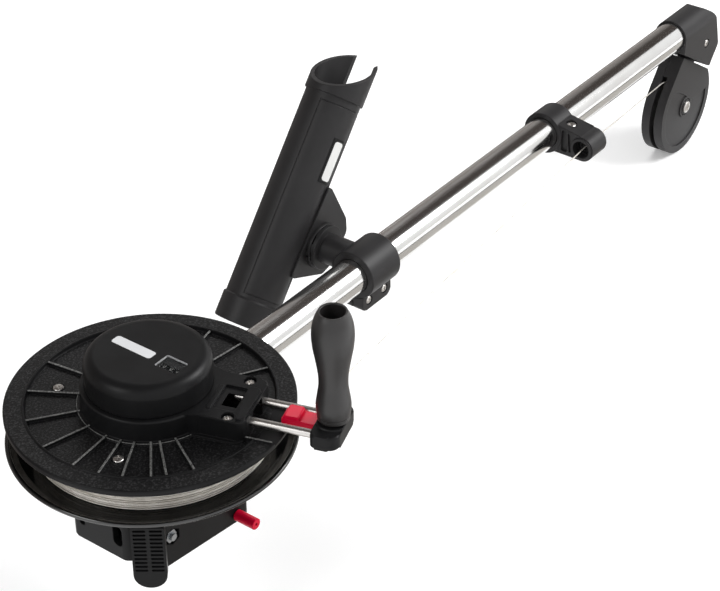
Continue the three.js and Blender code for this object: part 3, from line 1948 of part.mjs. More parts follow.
function guideScrew() {
  const seat = guideAt.top - guide.screwSink + gap;
  const head = post(
    guide.screwHead,
    seat,
    seat + guide.screwHeadHeight,
    smallSides,
    guide.x,
    guideAt.screwY,
  );
  const shank = post(
    guide.screwRadius,
    guideAt.bottom,
    seat + edge,
    tinySides,
    guide.x,
    guideAt.screwY,
  );
  return join(head, shank);
}

function alongSwivel(shape) {
  return shape.rotateY(swivel.lean * degree).translate(swivelAt.x, boom.y, swivelAt.z);
}

// The height at a place on X of a face that lies square to the swivel, so far up its axis
function swivelFace(x, height) {
  const lean = swivel.lean * degree;
  return swivelAt.z + (height - (x - swivelAt.x) * Math.sin(lean)) / Math.cos(lean);
}

// How far up the swivel axis the cross screw lies
function crossScrewHeight() {
  const x = tipAt.screwX - swivelAt.x;
  const z = tipAt.screwZ - swivelAt.z;
  return x * swivelAxis.x + z * swivelAxis.z;
}

function tipCap() {
  const top = boom.z + tip.radius;
  const seat = swivel.bossHeight + gap;
  const side = slabY(
    outline([
      [tipAt.rear, swivelFace(tipAt.rear, seat)],
      [tipAt.rear, top],
      [tipAt.topFront, top],
      tipAt.brow,
      tipAt.nose,
      [tipAt.chinX, swivelFace(tipAt.chinX, seat)],
    ]),
    boom.y - tip.radius,
    boom.y + tip.radius,
  );
  const dome = rodX(tip.radius, tipAt.rear - overrun, tipAt.nose[0] + overrun, largeSides, boom.y, boom.z);
  const skirt = block(
    tipAt.rear - overrun,
    tipAt.nose[0] + overrun,
    boom.y - tip.radius,
    boom.y + tip.radius,
    0,
    boom.z,
  );
  const bore = rodX(
    boom.radius + gap,
    tipAt.rear - overrun,
    boom.front + gap,
    largeSides,
    boom.y,
    boom.z,
  );
  const swivelBore = alongSwivel(post(swivel.radius + gap, swivel.bottom, swivel.top + gap, smallSides));
  const screwHole = rodY(
    tip.screwRadius + gap,
    boom.y - tip.radius - overrun,
    boom.y + tip.radius - tip.wall,
    tinySides,
    tipAt.screwX,
    tipAt.screwZ,
  );
  const headSeat = rodY(
    tip.screwHead + gap,
    boom.y - tip.radius - overrun,
    boom.y - tip.radius + tip.screwHeadHeight,
    smallSides,
    tipAt.screwX,
    tipAt.screwZ,
  );
  return cut(common(side, join(dome, skirt)), bore, swivelBore, screwHole, headSeat);
}

function tipScrew() {
  const seat = boom.y - tip.radius + tip.screwHeadHeight - gap;
  const head = rodY(
    tip.screwHead,
    seat - tip.screwHeadHeight,
    seat,
    smallSides,
    tipAt.screwX,
    tipAt.screwZ,
  );
  const shank = rodY(
    tip.screwRadius,
    seat - edge,
    boom.y + tip.radius - tip.wall - gap,
    tinySides,
    tipAt.screwX,
    tipAt.screwZ,
  );
  return join(head, shank);
}

function pulleyOutline() {
  const centre = new THREE.Vector2(pulleyAt.x, pulleyAt.z);
  const rearCorner = new THREE.Vector2(pulleyAt.topRearX, swivelFace(pulleyAt.topRearX, 0));
  const frontCorner = new THREE.Vector2(pulleyAt.topFrontX, swivelFace(pulleyAt.topFrontX, 0));
  const toRear = rearCorner.clone().sub(centre);
  const start = toRear.angle() + Math.acos(pulley.radius / toRear.length());
  const end = frontCorner.clone().sub(centre).angle() + 2 * Math.PI;
  const points = [rearCorner.toArray()];
  for (let i = 0; i <= pulley.arcSteps; i++) {
    const turn = start + ((end - start) * i) / pulley.arcSteps;
    points.push([pulleyAt.x + pulley.radius * Math.cos(turn), pulleyAt.z + pulley.radius * Math.sin(turn)]);
  }
  points.push(frontCorner.toArray());
  return outline(points);
}

function pulleyHalf(side) {
  const outerFace = side < 0 ? pulleyAt.nearFace : pulleyAt.farFace;
  const innerFace = boom.y + side * pulley.slotHalf;
  const low = Math.min(outerFace, innerFace);
  const high = Math.max(outerFace, innerFace);
  const plate = slabY(pulleyOutline(), low, high);
  const recessFace = boom.y + side * (sheave.halfWidth + gap);
  const recess = rodY(
    pulley.recessRadius,
    Math.min(recessFace, boom.y),
    Math.max(recessFace, boom.y),
    largeSides,
    pulleyAt.x,
    pulleyAt.z,
  );
  const reliefFace = outerFace - side * pulley.reliefDepth;
  const reliefRing = cut(
    rodY(
      pulley.reliefRadius,
      Math.min(reliefFace, outerFace + side * overrun),
      Math.max(reliefFace, outerFace + side * overrun),
      largeSides,
      pulleyAt.x,
      pulleyAt.z,
    ),
    rodY(
      pulley.bossRadius,
      Math.min(reliefFace, outerFace) - overrun,
      Math.max(reliefFace, outerFace) + overrun,
      midSides,
      pulleyAt.x,
      pulleyAt.z,
    ),
    block(
      pulleyAt.x - 2 * pulley.radius,
      pulleyAt.x + 2 * pulley.radius,
      pulleyAt.nearFace - pulley.radius,
      pulleyAt.farFace + pulley.radius,
      pulleyAt.z + pulley.bossRadius,
      pulleyAt.z + 2 * pulley.radius,
    ),
  );
  const axleHole = rodY(
    sheaveAxle.radius + gap,
    pulleyAt.nearFace - overrun,
    pulleyAt.farFace + overrun,
    smallSides,
    pulleyAt.x,
    pulleyAt.z,
  );
  const swivelBore = alongSwivel(post(swivel.radius + gap, swivel.bottom - gap, swivel.top, smallSides));
  return cut(plate, recess, reliefRing, axleHole, swivelBore);
}

// The near half also carries the walls that close the slot at the top and the bottom
function pulleyNearHalf() {
  const low = boom.y - pulley.slotHalf - edge;
  const high = boom.y + pulley.slotHalf - gap;
  const crown = common(
    slabY(pulleyOutline(), low, high),
    block(
      pulleyAt.x - 2 * pulley.radius,
      pulleyAt.x + 2 * pulley.radius,
      low,
      high,
      pulleyAt.spacerFloor,
      pulleyAt.z + 2 * pulley.radius,
    ),
  );
  const steps = Array.from({ length: filletSteps + 2 }, (_, i) => {
    const share = i / (filletSteps + 1);
    return (pulley.bottomWallFrom + (pulley.bottomWallTo - pulley.bottomWallFrom) * share) * degree;
  });
  const arc = (radius, list) =>
    list.map((turn) => [pulleyAt.x + radius * Math.cos(turn), pulleyAt.z + radius * Math.sin(turn)]);
  const floor = slabY(
    outline([...arc(pulley.radius - edge, steps), ...arc(pulley.bottomWallInner, [...steps].reverse())]),
    low,
    high,
  );
  const swivelBore = alongSwivel(post(swivel.radius + gap, swivel.bottom - gap, swivel.top, smallSides));
  const boss = alongSwivel(post(swivel.bossRadius, -edge, swivel.bossHeight, midSides));
  const farSide = block(
    pulleyAt.x - pulley.radius,
    pulleyAt.x + pulley.radius,
    high,
    pulleyAt.farFace,
    pulleyAt.spacerFloor - pulley.radius,
    pulleyAt.z + 2 * pulley.radius,
  );
  return cut(join(pulleyHalf(-1), crown, floor, cut(boss, farSide)), swivelBore);
}

function sheaveShape() {
  const wheel = turned(
    [
      [sheave.bore, -sheave.halfWidth],
      [sheave.radius, -sheave.halfWidth],
      [sheave.radius, -sheave.grooveHalf],
      [sheave.groove, -cable.radius],
      [sheave.groove, cable.radius],
      [sheave.radius, sheave.grooveHalf],
      [sheave.radius, sheave.halfWidth],
      [sheave.bore, sheave.halfWidth],
    ],
    largeSides,
  );
  return wheel.rotateX(quarter).translate(pulleyAt.x, boom.y, pulleyAt.z);
}

function sheaveAxleShape() {
  const shank = rodY(
    sheaveAxle.radius,
    pulleyAt.nearFace - gap - edge,
    pulleyAt.farFace + gap + edge,
    smallSides,
    pulleyAt.x,
    pulleyAt.z,
  );
  const heads = [
    rodY(
      sheaveAxle.screwHead,
      pulleyAt.nearFace - gap - sheaveAxle.headHeight,
      pulleyAt.nearFace - gap,
      smallSides,
      pulleyAt.x,
      pulleyAt.z,
    ),
    rodY(
      sheaveAxle.screwHead,
      pulleyAt.farFace + gap,
      pulleyAt.farFace + gap + sheaveAxle.headHeight,
      hexSides,
      pulleyAt.x,
      pulleyAt.z,
    ),
  ];
  return join(shank, ...heads);
}

function swivelBolt() {
  const middle = crossScrewHeight();
  return alongSwivel(
    turned(
      [
        [0, swivel.bottom],
        [swivel.radius, swivel.bottom],
        [swivel.radius, middle - swivel.neckHalf],
        [swivel.neckRadius, middle - swivel.neckHalf + gap],
        [swivel.neckRadius, middle + swivel.neckHalf - gap],
        [swivel.radius, middle + swivel.neckHalf],
        [swivel.radius, swivel.top],
        [0, swivel.top],
      ],
      smallSides,
    ),
  );
}

function sheaveTangentTurn() {
  const x = slotMouthAt[0] - pulleyAt.x;
  const z = slotMouthAt[2] - pulleyAt.z;
  return Math.atan2(z, x) - Math.acos(sheaveCableRadius / Math.hypot(x, z));
}

function cableRun() {
  const startRadius = windingRadius + 2 * cable.radius + gap;
  const turn = sheaveTangentTurn();
  const points = [
    new THREE.Vector3(cableStart.x, -Math.sqrt(startRadius ** 2 - cableStart.x ** 2), cableStartZ),
    new THREE.Vector3(guide.x, guideAt.holeY, guideAt.holeZ),
    new THREE.Vector3(...slotMouthAt),
    new THREE.Vector3(
      pulleyAt.x + sheaveCableRadius * Math.cos(turn),
      boom.y,
      pulleyAt.z + sheaveCableRadius * Math.sin(turn),
    ),
  ];
  const route = new THREE.CurvePath();
  for (let i = 1; i < points.length; i++) route.add(new THREE.LineCurve3(points[i - 1], points[i]));
  return swept(route, cable.radius, cable.runSteps, cable.runSides);
}

// Over the sheave and down its outboard side, to a crimped sleeve
function cableTail() {
  const start = sheaveTangentTurn();
  const lead = gap / sheaveCableRadius;
  const points = [];
  for (let i = 0; i <= cable.wrapSteps; i++) {
    const turn = (start - lead) * (1 - i / cable.wrapSteps);
    points.push(
      new THREE.Vector3(
        pulleyAt.x + sheaveCableRadius * Math.cos(turn),
        boom.y,
        pulleyAt.z + sheaveCableRadius * Math.sin(turn),
      ),
    );
  }
  const x = pulleyAt.x + sheaveCableRadius;
  points.push(new THREE.Vector3(x, boom.y, pulleyAt.z - crimp.drop));
  const route = new THREE.CurvePath();
  for (let i = 1; i < points.length; i++) route.add(new THREE.LineCurve3(points[i - 1], points[i]));
  const wire = swept(route, cable.radius, cable.tailSteps, cable.runSides);
  const sleeve = post(
    crimp.radius,
    pulleyAt.z - crimp.drop - crimp.length / 2,
    pulleyAt.z - crimp.drop + crimp.length / 2,
    tinySides,
    x,
    boom.y,
  );
  return join(wire, sleeve);
}

// Assembly
addPiece(model, "main_frame", mainFrame(), blackPlastic);
addPiece(model, "mount_shoe", mountShoe(), blackPlastic);
addPiece(model, "boom", boomTube(), stainless);
boomBolt.places.forEach((x, i) => addPiece(model, "boom_bolt_" + (i + 1), boomBoltShape(x), zincSteel));

const axleHead = frame.blockTop - frame.deck - gap;
addPiece(model, "axle", post(axle.radius, axleBottom, axleTop, smallSides), stainless);
addPiece(
  model,
  "axle_nut",
  cut(
    post(axle.nutAcross, axleHead - axle.nutHeight, axleHead, hexSides),
    post(axle.radius + gap, axleBottom - overrun, axleHead + overrun, smallSides),
  ),
  zincSteel,
);
addPiece(
  model,
  "top_nut",
  cut(
    post(topNut.radius, counterAt.bridgeTop + gap, axleTop, hexSides).rotateZ(quarter),
    post(axle.radius + gap, counterAt.bridgeTop, axleTop + overrun, smallSides),
  ),
  zincSteel,
);
addPiece(
  model,
  "thrust_washer",
  cut(
    post(washer.radius, frameTop + gap, frameTop + gap + washer.height, midSides),
    post(axle.radius + gap, frameTop, frameTop + 2 * washer.height, smallSides),
  ),
  bronze,
);

addPiece(model, "spool_body", spoolBody(), glossPlastic);
addPiece(
  model,
  "spool_bush",
  cut(
    post(bush.radius, spoolBottom + gap, spoolBottom + bush.length, midSides),
    post(axle.radius + gap, spoolBottom - overrun, spoolBottom + 2 * bush.length, smallSides),
  ),
  bronze,
);
addPiece(model, "cable_layers", cableLayers(), wireRope);
addPiece(model, "cable_winding", cableWinding(), wireRope);
addPiece(model, "drive_gear", driveGearShape(), whitePlastic);

const crankGroup = new THREE.Group();
crankGroup.rotation.z = crank.heading * degree;
model.add(crankGroup);
addPiece(crankGroup, "crank_plate", crankPlate(), blackPlastic);
addPiece(crankGroup, "clutch_ring", clutchRingShape(), zincSteel);
plateScrewPlaces().forEach((place, i) =>
  addPiece(crankGroup, "plate_screw_" + (i + 1), plateScrewShape(place), stainless),
);
addPiece(crankGroup, "arm_rod_front", armRod(-1), stainless);
addPiece(crankGroup, "arm_rod_rear", armRod(1), stainless);
addPiece(crankGroup, "arm_end_block", endBlockShape(), blackPlastic);
addPiece(crankGroup, "grip_spindle", gripSpindle(), stainless);
addPiece(crankGroup, "grip", gripShape(), blackPlastic);
addPiece(crankGroup, "arm_latch", armLatch(), redPlastic);
addPiece(crankGroup, "latch_spring", latchSpringShape(), stainless);

addPiece(model, "counter_base", counterBaseShape(), blackPlastic);
addPiece(model, "counter_jack", counterJack(), whitePlastic);
addPiece(model, "counter_shaft", counterShaft(), whitePlastic);
["hundreds_wheel", "tens_wheel", "units_wheel"].forEach((name, place) =>
  addPiece(model, name, digitWheel(place), whitePlastic),
);
addPiece(model, "counter_cover", counterCover(), blackPlastic);
addPiece(model, "counter_window", windowPane(), clearPlastic);

addPiece(model, "latch_lever", leverShape(), blackPlastic);
addPiece(model, "lever_bolt", leverBolt(), zincSteel);
addPiece(model, "lever_nut", leverNutShape(), stainless);
addPiece(model, "lever_spring", leverSpringShape(), stainless);
addPiece(model, "lock_pin", lockPin(), redPlastic);

addPiece(model, "holder_clamp", holderClamp(), blackPlastic);
clampAt.screwPlaces.forEach((x, i) => addPiece(model, "clamp_screw_" + (i + 1), clampScrew(x), stainless));
addPiece(model, "rod_holder", rodHolder(), blackPlastic);
addPiece(model, "holder_bolt", holderBoltShape(), stainless);

addPiece(model, "cable_guide", cableGuide(), blackPlastic);
addPiece(model, "guide_eyelet", guideEyelet(), whitePlastic);
addPiece(model, "guide_screw", guideScrew(), stainless);

addPiece(model, "tip_cap", tipCap(), blackPlastic);
addPiece(model, "tip_screw", tipScrew(), stainless);
addPiece(model, "pulley_near_half", pulleyNearHalf(), blackPlastic);
addPiece(model, "pulley_far_half", pulleyHalf(1), blackPlastic);
addPiece(model, "sheave", sheaveShape(), whitePlastic);
addPiece(model, "sheave_axle", sheaveAxleShape(), stainless);
addPiece(model, "swivel_bolt", swivelBolt(), stainless);
addPiece(model, "cable_run", cableRun(), wireRope);
addPiece(model, "cable_tail", cableTail(), wireRope);

export default model;
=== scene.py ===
# Dresses the packed downrigger: every part gets its rounded edges and the surface that it was made with.
# Shapes are built in millimetres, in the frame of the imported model, and become metres when a piece is finished.
import json
import math

import bmesh
import bpy
from mathutils import Matrix, Vector


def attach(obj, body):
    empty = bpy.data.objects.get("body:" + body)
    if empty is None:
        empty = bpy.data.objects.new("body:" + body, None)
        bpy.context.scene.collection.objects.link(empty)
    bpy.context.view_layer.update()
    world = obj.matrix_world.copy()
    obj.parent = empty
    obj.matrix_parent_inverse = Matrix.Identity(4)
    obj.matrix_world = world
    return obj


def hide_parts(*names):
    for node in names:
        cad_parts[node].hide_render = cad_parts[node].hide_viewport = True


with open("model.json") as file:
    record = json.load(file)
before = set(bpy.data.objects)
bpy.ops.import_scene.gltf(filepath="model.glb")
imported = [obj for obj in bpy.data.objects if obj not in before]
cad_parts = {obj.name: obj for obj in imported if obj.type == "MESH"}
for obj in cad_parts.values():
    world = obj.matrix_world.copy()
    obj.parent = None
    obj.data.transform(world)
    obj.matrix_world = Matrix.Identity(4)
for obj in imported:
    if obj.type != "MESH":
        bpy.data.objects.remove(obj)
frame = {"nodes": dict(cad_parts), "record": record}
for name in ("Cube", "Light", "Camera"):
    if name in bpy.data.objects:
        bpy.data.objects.remove(bpy.data.objects[name])
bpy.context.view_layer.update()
nodeBody = {node: body for body, nodes in frame["record"]["behaviour"]["bodies"].items() for node in nodes}

metre = 0.001  # one millimetre in Blender's units
gap = 0.3  # clearance between neighbours, as in the model
past = 1  # how far a cutter runs past the face that it cuts, and joined shapes reach into each other
sides = {"rim": 160, "large": 96, "mid": 56, "small": 32, "tiny": 16}  # faces round a turned shape, by its size

# Camera: a short telephoto a little above the spool, looking out along the boom
cameraData = {
    "place": (-0.802, -0.780, 0.962),
    "axes": ((0.5940, -0.8045, 0.0), (0.4543, 0.3354, 0.8254), (-0.6640, -0.4902, 0.5647)),  # right, up, back
    "lens": 96.5,
    "sensor": 36.0,
    "clip": (0.05, 60),
}


def link(thing):
    bpy.context.scene.collection.objects.link(thing)
    return thing


def makeCamera():
    d = cameraData
    lens = bpy.data.cameras.new("camera")
    lens.lens = d["lens"]
    lens.sensor_width = d["sensor"]
    lens.clip_start, lens.clip_end = d["clip"]
    camera = link(bpy.data.objects.new("camera", lens))
    turned = Matrix([Vector(axis).normalized() for axis in d["axes"]]).transposed().to_4x4()
    camera.matrix_world = Matrix.Translation(d["place"]) @ turned
    bpy.context.scene.camera = camera


makeCamera()

# Materials


def fromHex(code, alpha=1.0):
    channels = [int(code[i : i + 2], 16) / 255 for i in (1, 3, 5)]
    linear = [c / 12.92 if c <= 0.04045 else ((c + 0.055) / 1.055) ** 2.4 for c in channels]
    return (*linear, alpha)


def addNode(material, kind, inputs=None, stops=(), **settings):
    # Adds a node with its settings, and gives its sockets values or links. Stops are a ramp's places and colours
    made = material.node_tree.nodes.new("ShaderNode" + kind)
    for name, value in settings.items():
        setattr(made, name, value)
    for i, (position, colour) in enumerate(stops):
        made.color_ramp.elements[i].position = position
        made.color_ramp.elements[i].color = fromHex(colour)
    for socket, value in (inputs or {}).items():
        if isinstance(value, bpy.types.NodeSocket):
            material.node_tree.links.new(value, made.inputs[socket])
        else:
            made.inputs[socket].default_value = value
    return made


def newMaterial(name):
    material = bpy.data.materials.new(name)
    material.use_nodes = True
    material.node_tree.nodes.clear()
    return material


def finishMaterial(material, shader):
    addNode(material, "OutputMaterial", {"Surface": shader.outputs[0]})
    return material


def reliefFinish(material, pattern, height, bevel, surface, strength=1.0):
    # Ends a material with its pattern as fine relief, over edges that catch the light as if they were rounded
    relief = {"Height": pattern, "Distance": height * metre, "Strength": strength}
    if bevel:
        relief["Normal"] = addNode(material, "Bevel", {"Radius": bevel * metre}, samples=4).outputs["Normal"]
    surface["Normal"] = addNode(material, "Bump", relief).outputs["Normal"]
    return finishMaterial(material, addNode(material, "BsdfPrincipled", surface))


def perMetre(millimetres):
    return 1000 / millimetres


def mouldedPolymer(name, colours, rough, grain, bevel, specular, flow=38.0):
    # Injection-moulded polymer: the eroded mould leaves a fine pebbled skin, so highlights are broad and soft.
    # Rough is the roughness and how far it strays, grain the pebbles' width and height, flow the streaks' width
    material = newMaterial(name)
    where = addNode(material, "TexCoord").outputs["Object"]
    pebbles = addNode(material, "TexNoise", {"Vector": where, "Scale": perMetre(grain[0]), "Detail": 3.0})
    flowLines = {"Vector": where, "Scale": perMetre(flow), "Detail": 4.0, "Roughness": 0.6}
    streaks = addNode(material, "TexNoise", flowLines).outputs["Fac"]
    tone = addNode(material, "ValToRGB", {"Fac": streaks}, stops=((0.3, colours[0]), (0.75, colours[1])))
    sheen = {"Value": streaks, "To Min": rough[0] - rough[1], "To Max": rough[0] + rough[1]}
    surface = {
        "Base Color": tone.outputs["Color"],
        "Roughness": addNode(material, "MapRange", sheen).outputs["Result"],
        "Specular IOR Level": specular,
        "IOR": 1.5,
    }
    return reliefFinish(material, pebbles.outputs["Fac"], grain[1], bevel, surface)


def workedMetal(name, colours, roughness, lines, height, stretch=(1.0, 1.0, 1.0)):
    # Drawn, turned or ground metal: fine lines run the way that the tool ran, stretched along one axis
    material = newMaterial(name)
    where = addNode(material, "TexCoord").outputs["Object"]
    along = addNode(material, "Mapping", {"Vector": where, "Scale": stretch}).outputs["Vector"]
    grind = addNode(material, "TexNoise", {"Vector": along, "Scale": perMetre(lines), "Detail": 4.0})
    cloud = addNode(material, "TexNoise", {"Vector": where, "Scale": perMetre(45.0), "Detail": 2.0})
    clouded = {"Fac": cloud.outputs["Fac"]}
    tone = addNode(material, "ValToRGB", clouded, stops=((0.25, colours[1]), (0.7, colours[0])))
    sheen = {"Value": grind.outputs["Fac"], "To Min": roughness * 0.7, "To Max": roughness * 1.5}
    surface = {
        "Base Color": tone.outputs["Color"],
        "Metallic": 1.0,
        "Roughness": addNode(material, "MapRange", sheen).outputs["Result"],
    }
    return reliefFinish(material, grind.outputs["Fac"], height, 0.15, surface)


# Glass-filled nylon, moulded: dark grey-black with a fine satin skin
satinNylon = mouldedPolymer("satinMouldedNylon", ("#121213", "#19191a"), (0.38, 0.05), (0.55, 0.012), 0.75, 0.17)
# The same nylon off a smoother mould, nearly wet-looking, for the label's frame; on the eyelet its dark colour is
# painted shade in the guide's hole
smoothNylonAndHoleShade = mouldedPolymer("smoothNylonAndPaintedHoleShade", ("#0b0b0c", "#111112"), (0.3, 0.05), (0.8, 0.005), 0.5, 0.2)
# Polished ABS: the flange's mirror-like moulded face
glossyAbs = mouldedPolymer("polishedMouldedAbs", ("#060606", "#090909"), (0.12, 0.02), (1.6, 0.0004), 0.4, 0.32)
# The same ABS where the rim of the flange was flame-polished: it draws the lights out into a thin bright line
rimAbs = mouldedPolymer("flamePolishedAbs", ("#0c0c0c", "#101010"), (0.16, 0.02), (1.6, 0.0004), 0.4, 1.0)
# Nylon painted pale in flecks along the crests of ribs and ledges: a painted highlight where the crests catch the
# light
crestHighlightNylon = mouldedPolymer("crestPaintedHighlightNylon", ("#161616", "#8a8a88"), (0.36, 0.06), (0.7, 0.05), 0.2, 0.4, 1.6)
# A paler, greyer and drier copy of the satin nylon, for the fittings on the boom
paleFittingNylon = mouldedPolymer("paleCopyOfSatinNylon", ("#222122", "#2a292a"), (0.46, 0.05), (0.5, 0.014), 0.75, 0.3)
# Rubbery polypropylene of the grip: an even, dull sheen
gripPolymer = mouldedPolymer("satinPolypropylene", ("#211f1f", "#282626"), (0.4, 0.04), (0.5, 0.01), 0.4, 0.65)
# Red acetal, bright and slightly waxy
redAcetal = mouldedPolymer("redMouldedAcetal", ("#cc0630", "#da0c38"), (0.3, 0.04), (1.1, 0.004), 0.35, 0.15)
# Natural white acetal of the gears, the counter's shaft and the sheave
whiteAcetal = mouldedPolymer("whiteMouldedAcetal", ("#dcdcd6", "#e8e8e2"), (0.36, 0.04), (0.9, 0.004), 0.2, 0.5)
# Printed white vinyl of the blank plate on the rod holder
whiteVinyl = mouldedPolymer("whiteVinylPlate", ("#e4e4e2", "#ececea"), (0.32, 0.03), (2.0, 0.002), 0.15, 0.5)
# Silver-printed vinyl of the counter's blank plate and window walls: pale, with a soft even sheen and no mirror
silverVinyl = mouldedPolymer("silverPrintedVinyl", ("#c4c5c7", "#cfd0d2"), (0.34, 0.03), (2.0, 0.002), 0.15, 0.5)
# White ink of the counter's numerals, matt and slightly grey
counterInk = mouldedPolymer("whiteCounterInk", ("#d2d2ce", "#dededa"), (0.5, 0.03), (0.6, 0.002), 0.05, 0.3)

# Polished stainless tube: belt-polished along its length, so the mirror is a little drawn out
polishedTube = workedMetal("polishedStainlessTube", ("#e4e4e3", "#d6d5d3"), 0.13, 1.4, 0.0008, (0.015, 1.0, 1.0))
# Ground stainless of the arm's rods and the bright screws: pale, with a fine blurred reflection
brightSteel = workedMetal("brightStainless", ("#e2dfdc", "#cbc8c4"), 0.27, 0.5, 0.003)
# Zinc-plated steel of the nuts, the boom's bolts, the grip's spindle and the clutch ring: a greyer, softer shine
zincSteel = workedMetal("zincPlatedSteel", ("#b2b5b8", "#8f9296"), 0.34, 0.8, 0.004)
# Sintered bronze bush and washer: a dull brown metal with a fine open grain
sinteredBronze = workedMetal("sinteredBronze", ("#9c7440", "#7d5a30"), 0.42, 0.4, 0.006)


def strandedWire():
    # Seven-strand stainless wire: the strands wind round it, seen as slanting lines across each turn
    material = newMaterial("strandedStainlessWire")
    lay = {"Vector": addNode(material, "UVMap").outputs["UV"], "Scale": 1.0, "Distortion": 0.3, "Detail": 1.0}
    strands = addNode(material, "TexWave", lay, wave_type="BANDS", bands_direction="DIAGONAL")
    where = addNode(material, "TexCoord").outputs["Object"]
    tarnish = addNode(material, "TexNoise", {"Vector": where, "Scale": perMetre(14.0), "Detail": 3.0})
    tarnished = {"Fac": tarnish.outputs["Fac"]}
    tone = addNode(material, "ValToRGB", tarnished, stops=((0.3, "#ddd8cf"), (0.6, "#f6f2eb")))
    surface = {"Base Color": tone.outputs["Color"], "Metallic": 0.7, "Roughness": 0.4}
    return reliefFinish(material, strands.outputs["Fac"], 0.08, 0, surface, 0.7)


wireRope = strandedWire()


def erodedSkin():
    # Nylon off a deeply spark-eroded mould: a leathery grain with glossier crests that break the light up
    material = newMaterial("deepErodedMouldedNylon")
    where = addNode(material, "TexCoord").outputs["Object"]
    leather = {"Vector": where, "Scale": perMetre(1.5), "Detail": 5.0, "Roughness": 0.6}
    crests = addNode(material, "TexNoise", leather).outputs["Fac"]
    tone = addNode(material, "ValToRGB", {"Fac": crests}, stops=((0.5, "#0c0c0d"), (0.66, "#343435")))
    sheen = {"Value": crests, "To Min": 0.6, "To Max": 0.32}
    surface = {
        "Base Color": tone.outputs["Color"],
        "Roughness": addNode(material, "MapRange", sheen).outputs["Result"],
        "Specular IOR Level": 0.22,
        "IOR": 1.5,
    }
    return reliefFinish(material, crests, 0.34, 0.5, surface)


erodedNylon = erodedSkin()


def clearAcrylic():
    # Clear acrylic so thin that it bends nothing: a faint sheen with fine wipe marks over the counter
    material = newMaterial("clearAcrylicPane")
    where = addNode(material, "TexCoord").outputs["Object"]
    wipes = addNode(material, "TexNoise", {"Vector": where, "Scale": perMetre(3.0), "Detail": 5.0})
    sheen = {"Value": wipes.outputs["Fac"], "To Min": 0.03, "To Max": 0.09}
    surface = {
        "Base Color": fromHex("#4a4d4e"),
        "Roughness": addNode(material, "MapRange", sheen).outputs["Result"],
        "Alpha": 0.05,
        "IOR": 1.49,
    }
    return finishMaterial(material, addNode(material, "BsdfPrincipled", surface))


acrylic = clearAcrylic()

# Shapes in millimetres


def place(shape, matrix):
    shape.data.transform(matrix)
    return shape


def shift(shape, x=0.0, y=0.0, z=0.0):
    return place(shape, Matrix.Translation((x, y, z)))


def turn(shape, degrees, axis="Z"):
    return place(shape, Matrix.Rotation(math.radians(degrees), 4, axis))


# Turns of the axes, so that what was built up Z lies along another axis
alongAxis = {
    "X": Matrix(((0, 0, 1, 0), (1, 0, 0, 0), (0, 1, 0, 0), (0, 0, 0, 1))),
    "Y": Matrix(((0, 1, 0, 0), (0, 0, 1, 0), (1, 0, 0, 0), (0, 0, 0, 1))),
    "-Y": Matrix(((1, 0, 0, 0), (0, 0, -1, 0), (0, 1, 0, 0), (0, 0, 0, 1))),
    "Z": Matrix.Identity(4),
}
# Stands an outline that was drawn in X and Y up in X and Z
standingOutline = Matrix(((1, 0, 0, 0), (0, 0, 1, 0), (0, 1, 0, 0), (0, 0, 0, 1)))


def standAt(shape, axis, spot):
    return place(shape, Matrix.Translation(spot) @ alongAxis[axis])


def fromBmesh(bm):
    bmesh.ops.recalc_face_normals(bm, faces=bm.faces)
    mesh = bpy.data.meshes.new("shape")
    bm.to_mesh(mesh)
    bm.free()
    return link(bpy.data.objects.new("shape", mesh))


def rounded(corners, radius=0.0, steps=5):
    # An outline whose corners become arcs; a corner's third number is a radius of its own
    made = []
    for i, corner in enumerate(corners):
        r = corner[2] if len(corner) > 2 else radius
        here = Vector(corner[:2])
        back = Vector(corners[i - 1][:2]) - here
        ahead = Vector(corners[(i + 1) % len(corners)][:2]) - here
        half = back.angle(ahead) / 2 if back.length and ahead.length else 0
        if r <= 0 or half < 0.02 or half > 1.55:
            made.append(tuple(here))
            continue
        reach = min(r / math.tan(half), 0.49 * back.length, 0.49 * ahead.length)
        r = reach * math.tan(half)
        centre = here + (back.normalized() + ahead.normalized()).normalized() * (r / math.sin(half))
        first = here + back.normalized() * reach - centre
        last = here + ahead.normalized() * reach - centre
        start = math.atan2(first.y, first.x)
        sweep = math.remainder(math.atan2(last.y, last.x) - start, 2 * math.pi)
        for k in range(steps + 1):
            angle = start + sweep * k / steps
            made.append((centre.x + r * math.cos(angle), centre.y + r * math.sin(angle)))
    return made


def box2d(x0, x1, y0, y1, radius=0.0, steps=5):
    return rounded([(x0, y0), (x1, y0), (x1, y1), (x0, y1)], radius, steps)


def circle2d(radius, count):
    turns = [2 * math.pi * k / count for k in range(count)]
    return [(radius * math.cos(a), radius * math.sin(a)) for a in turns]


def arcSpots(radius, degrees, x=0.0, y=0.0):
    angles = [math.radians(a) for a in degrees]
    return [(x + radius * math.cos(a), y + radius * math.sin(a)) for a in angles]


def roundEdges(bm, edges, width, steps):
    bmesh.ops.bevel(bm, geom=edges, offset=width, segments=steps, profile=0.5, affect="EDGES", clamp_overlap=True)


def prism(outline, low, high, bevel=0.0, steps=3, axis="Z"):
    # An outline made solid between two heights. Along Y the outline is in X and Z, along X it is in Y and Z
    bm = bmesh.new()
    base = [bm.verts.new((x, y, low)) for x, y in outline]
    lid = [bm.verts.new((x, y, high)) for x, y in outline]
    bm.faces.new(base[::-1])
    bm.faces.new(lid)
    for i in range(len(outline)):
        j = (i + 1) % len(outline)
        bm.faces.new((base[i], base[j], lid[j], lid[i]))
    if bevel:
        rims = [e for e in bm.edges if abs(e.verts[0].co.z - e.verts[1].co.z) < 1e-6]
        roundEdges(bm, rims, bevel, steps)
    bm.transform(standingOutline if axis == "Y" else alongAxis[axis])
    return fromBmesh(bm)


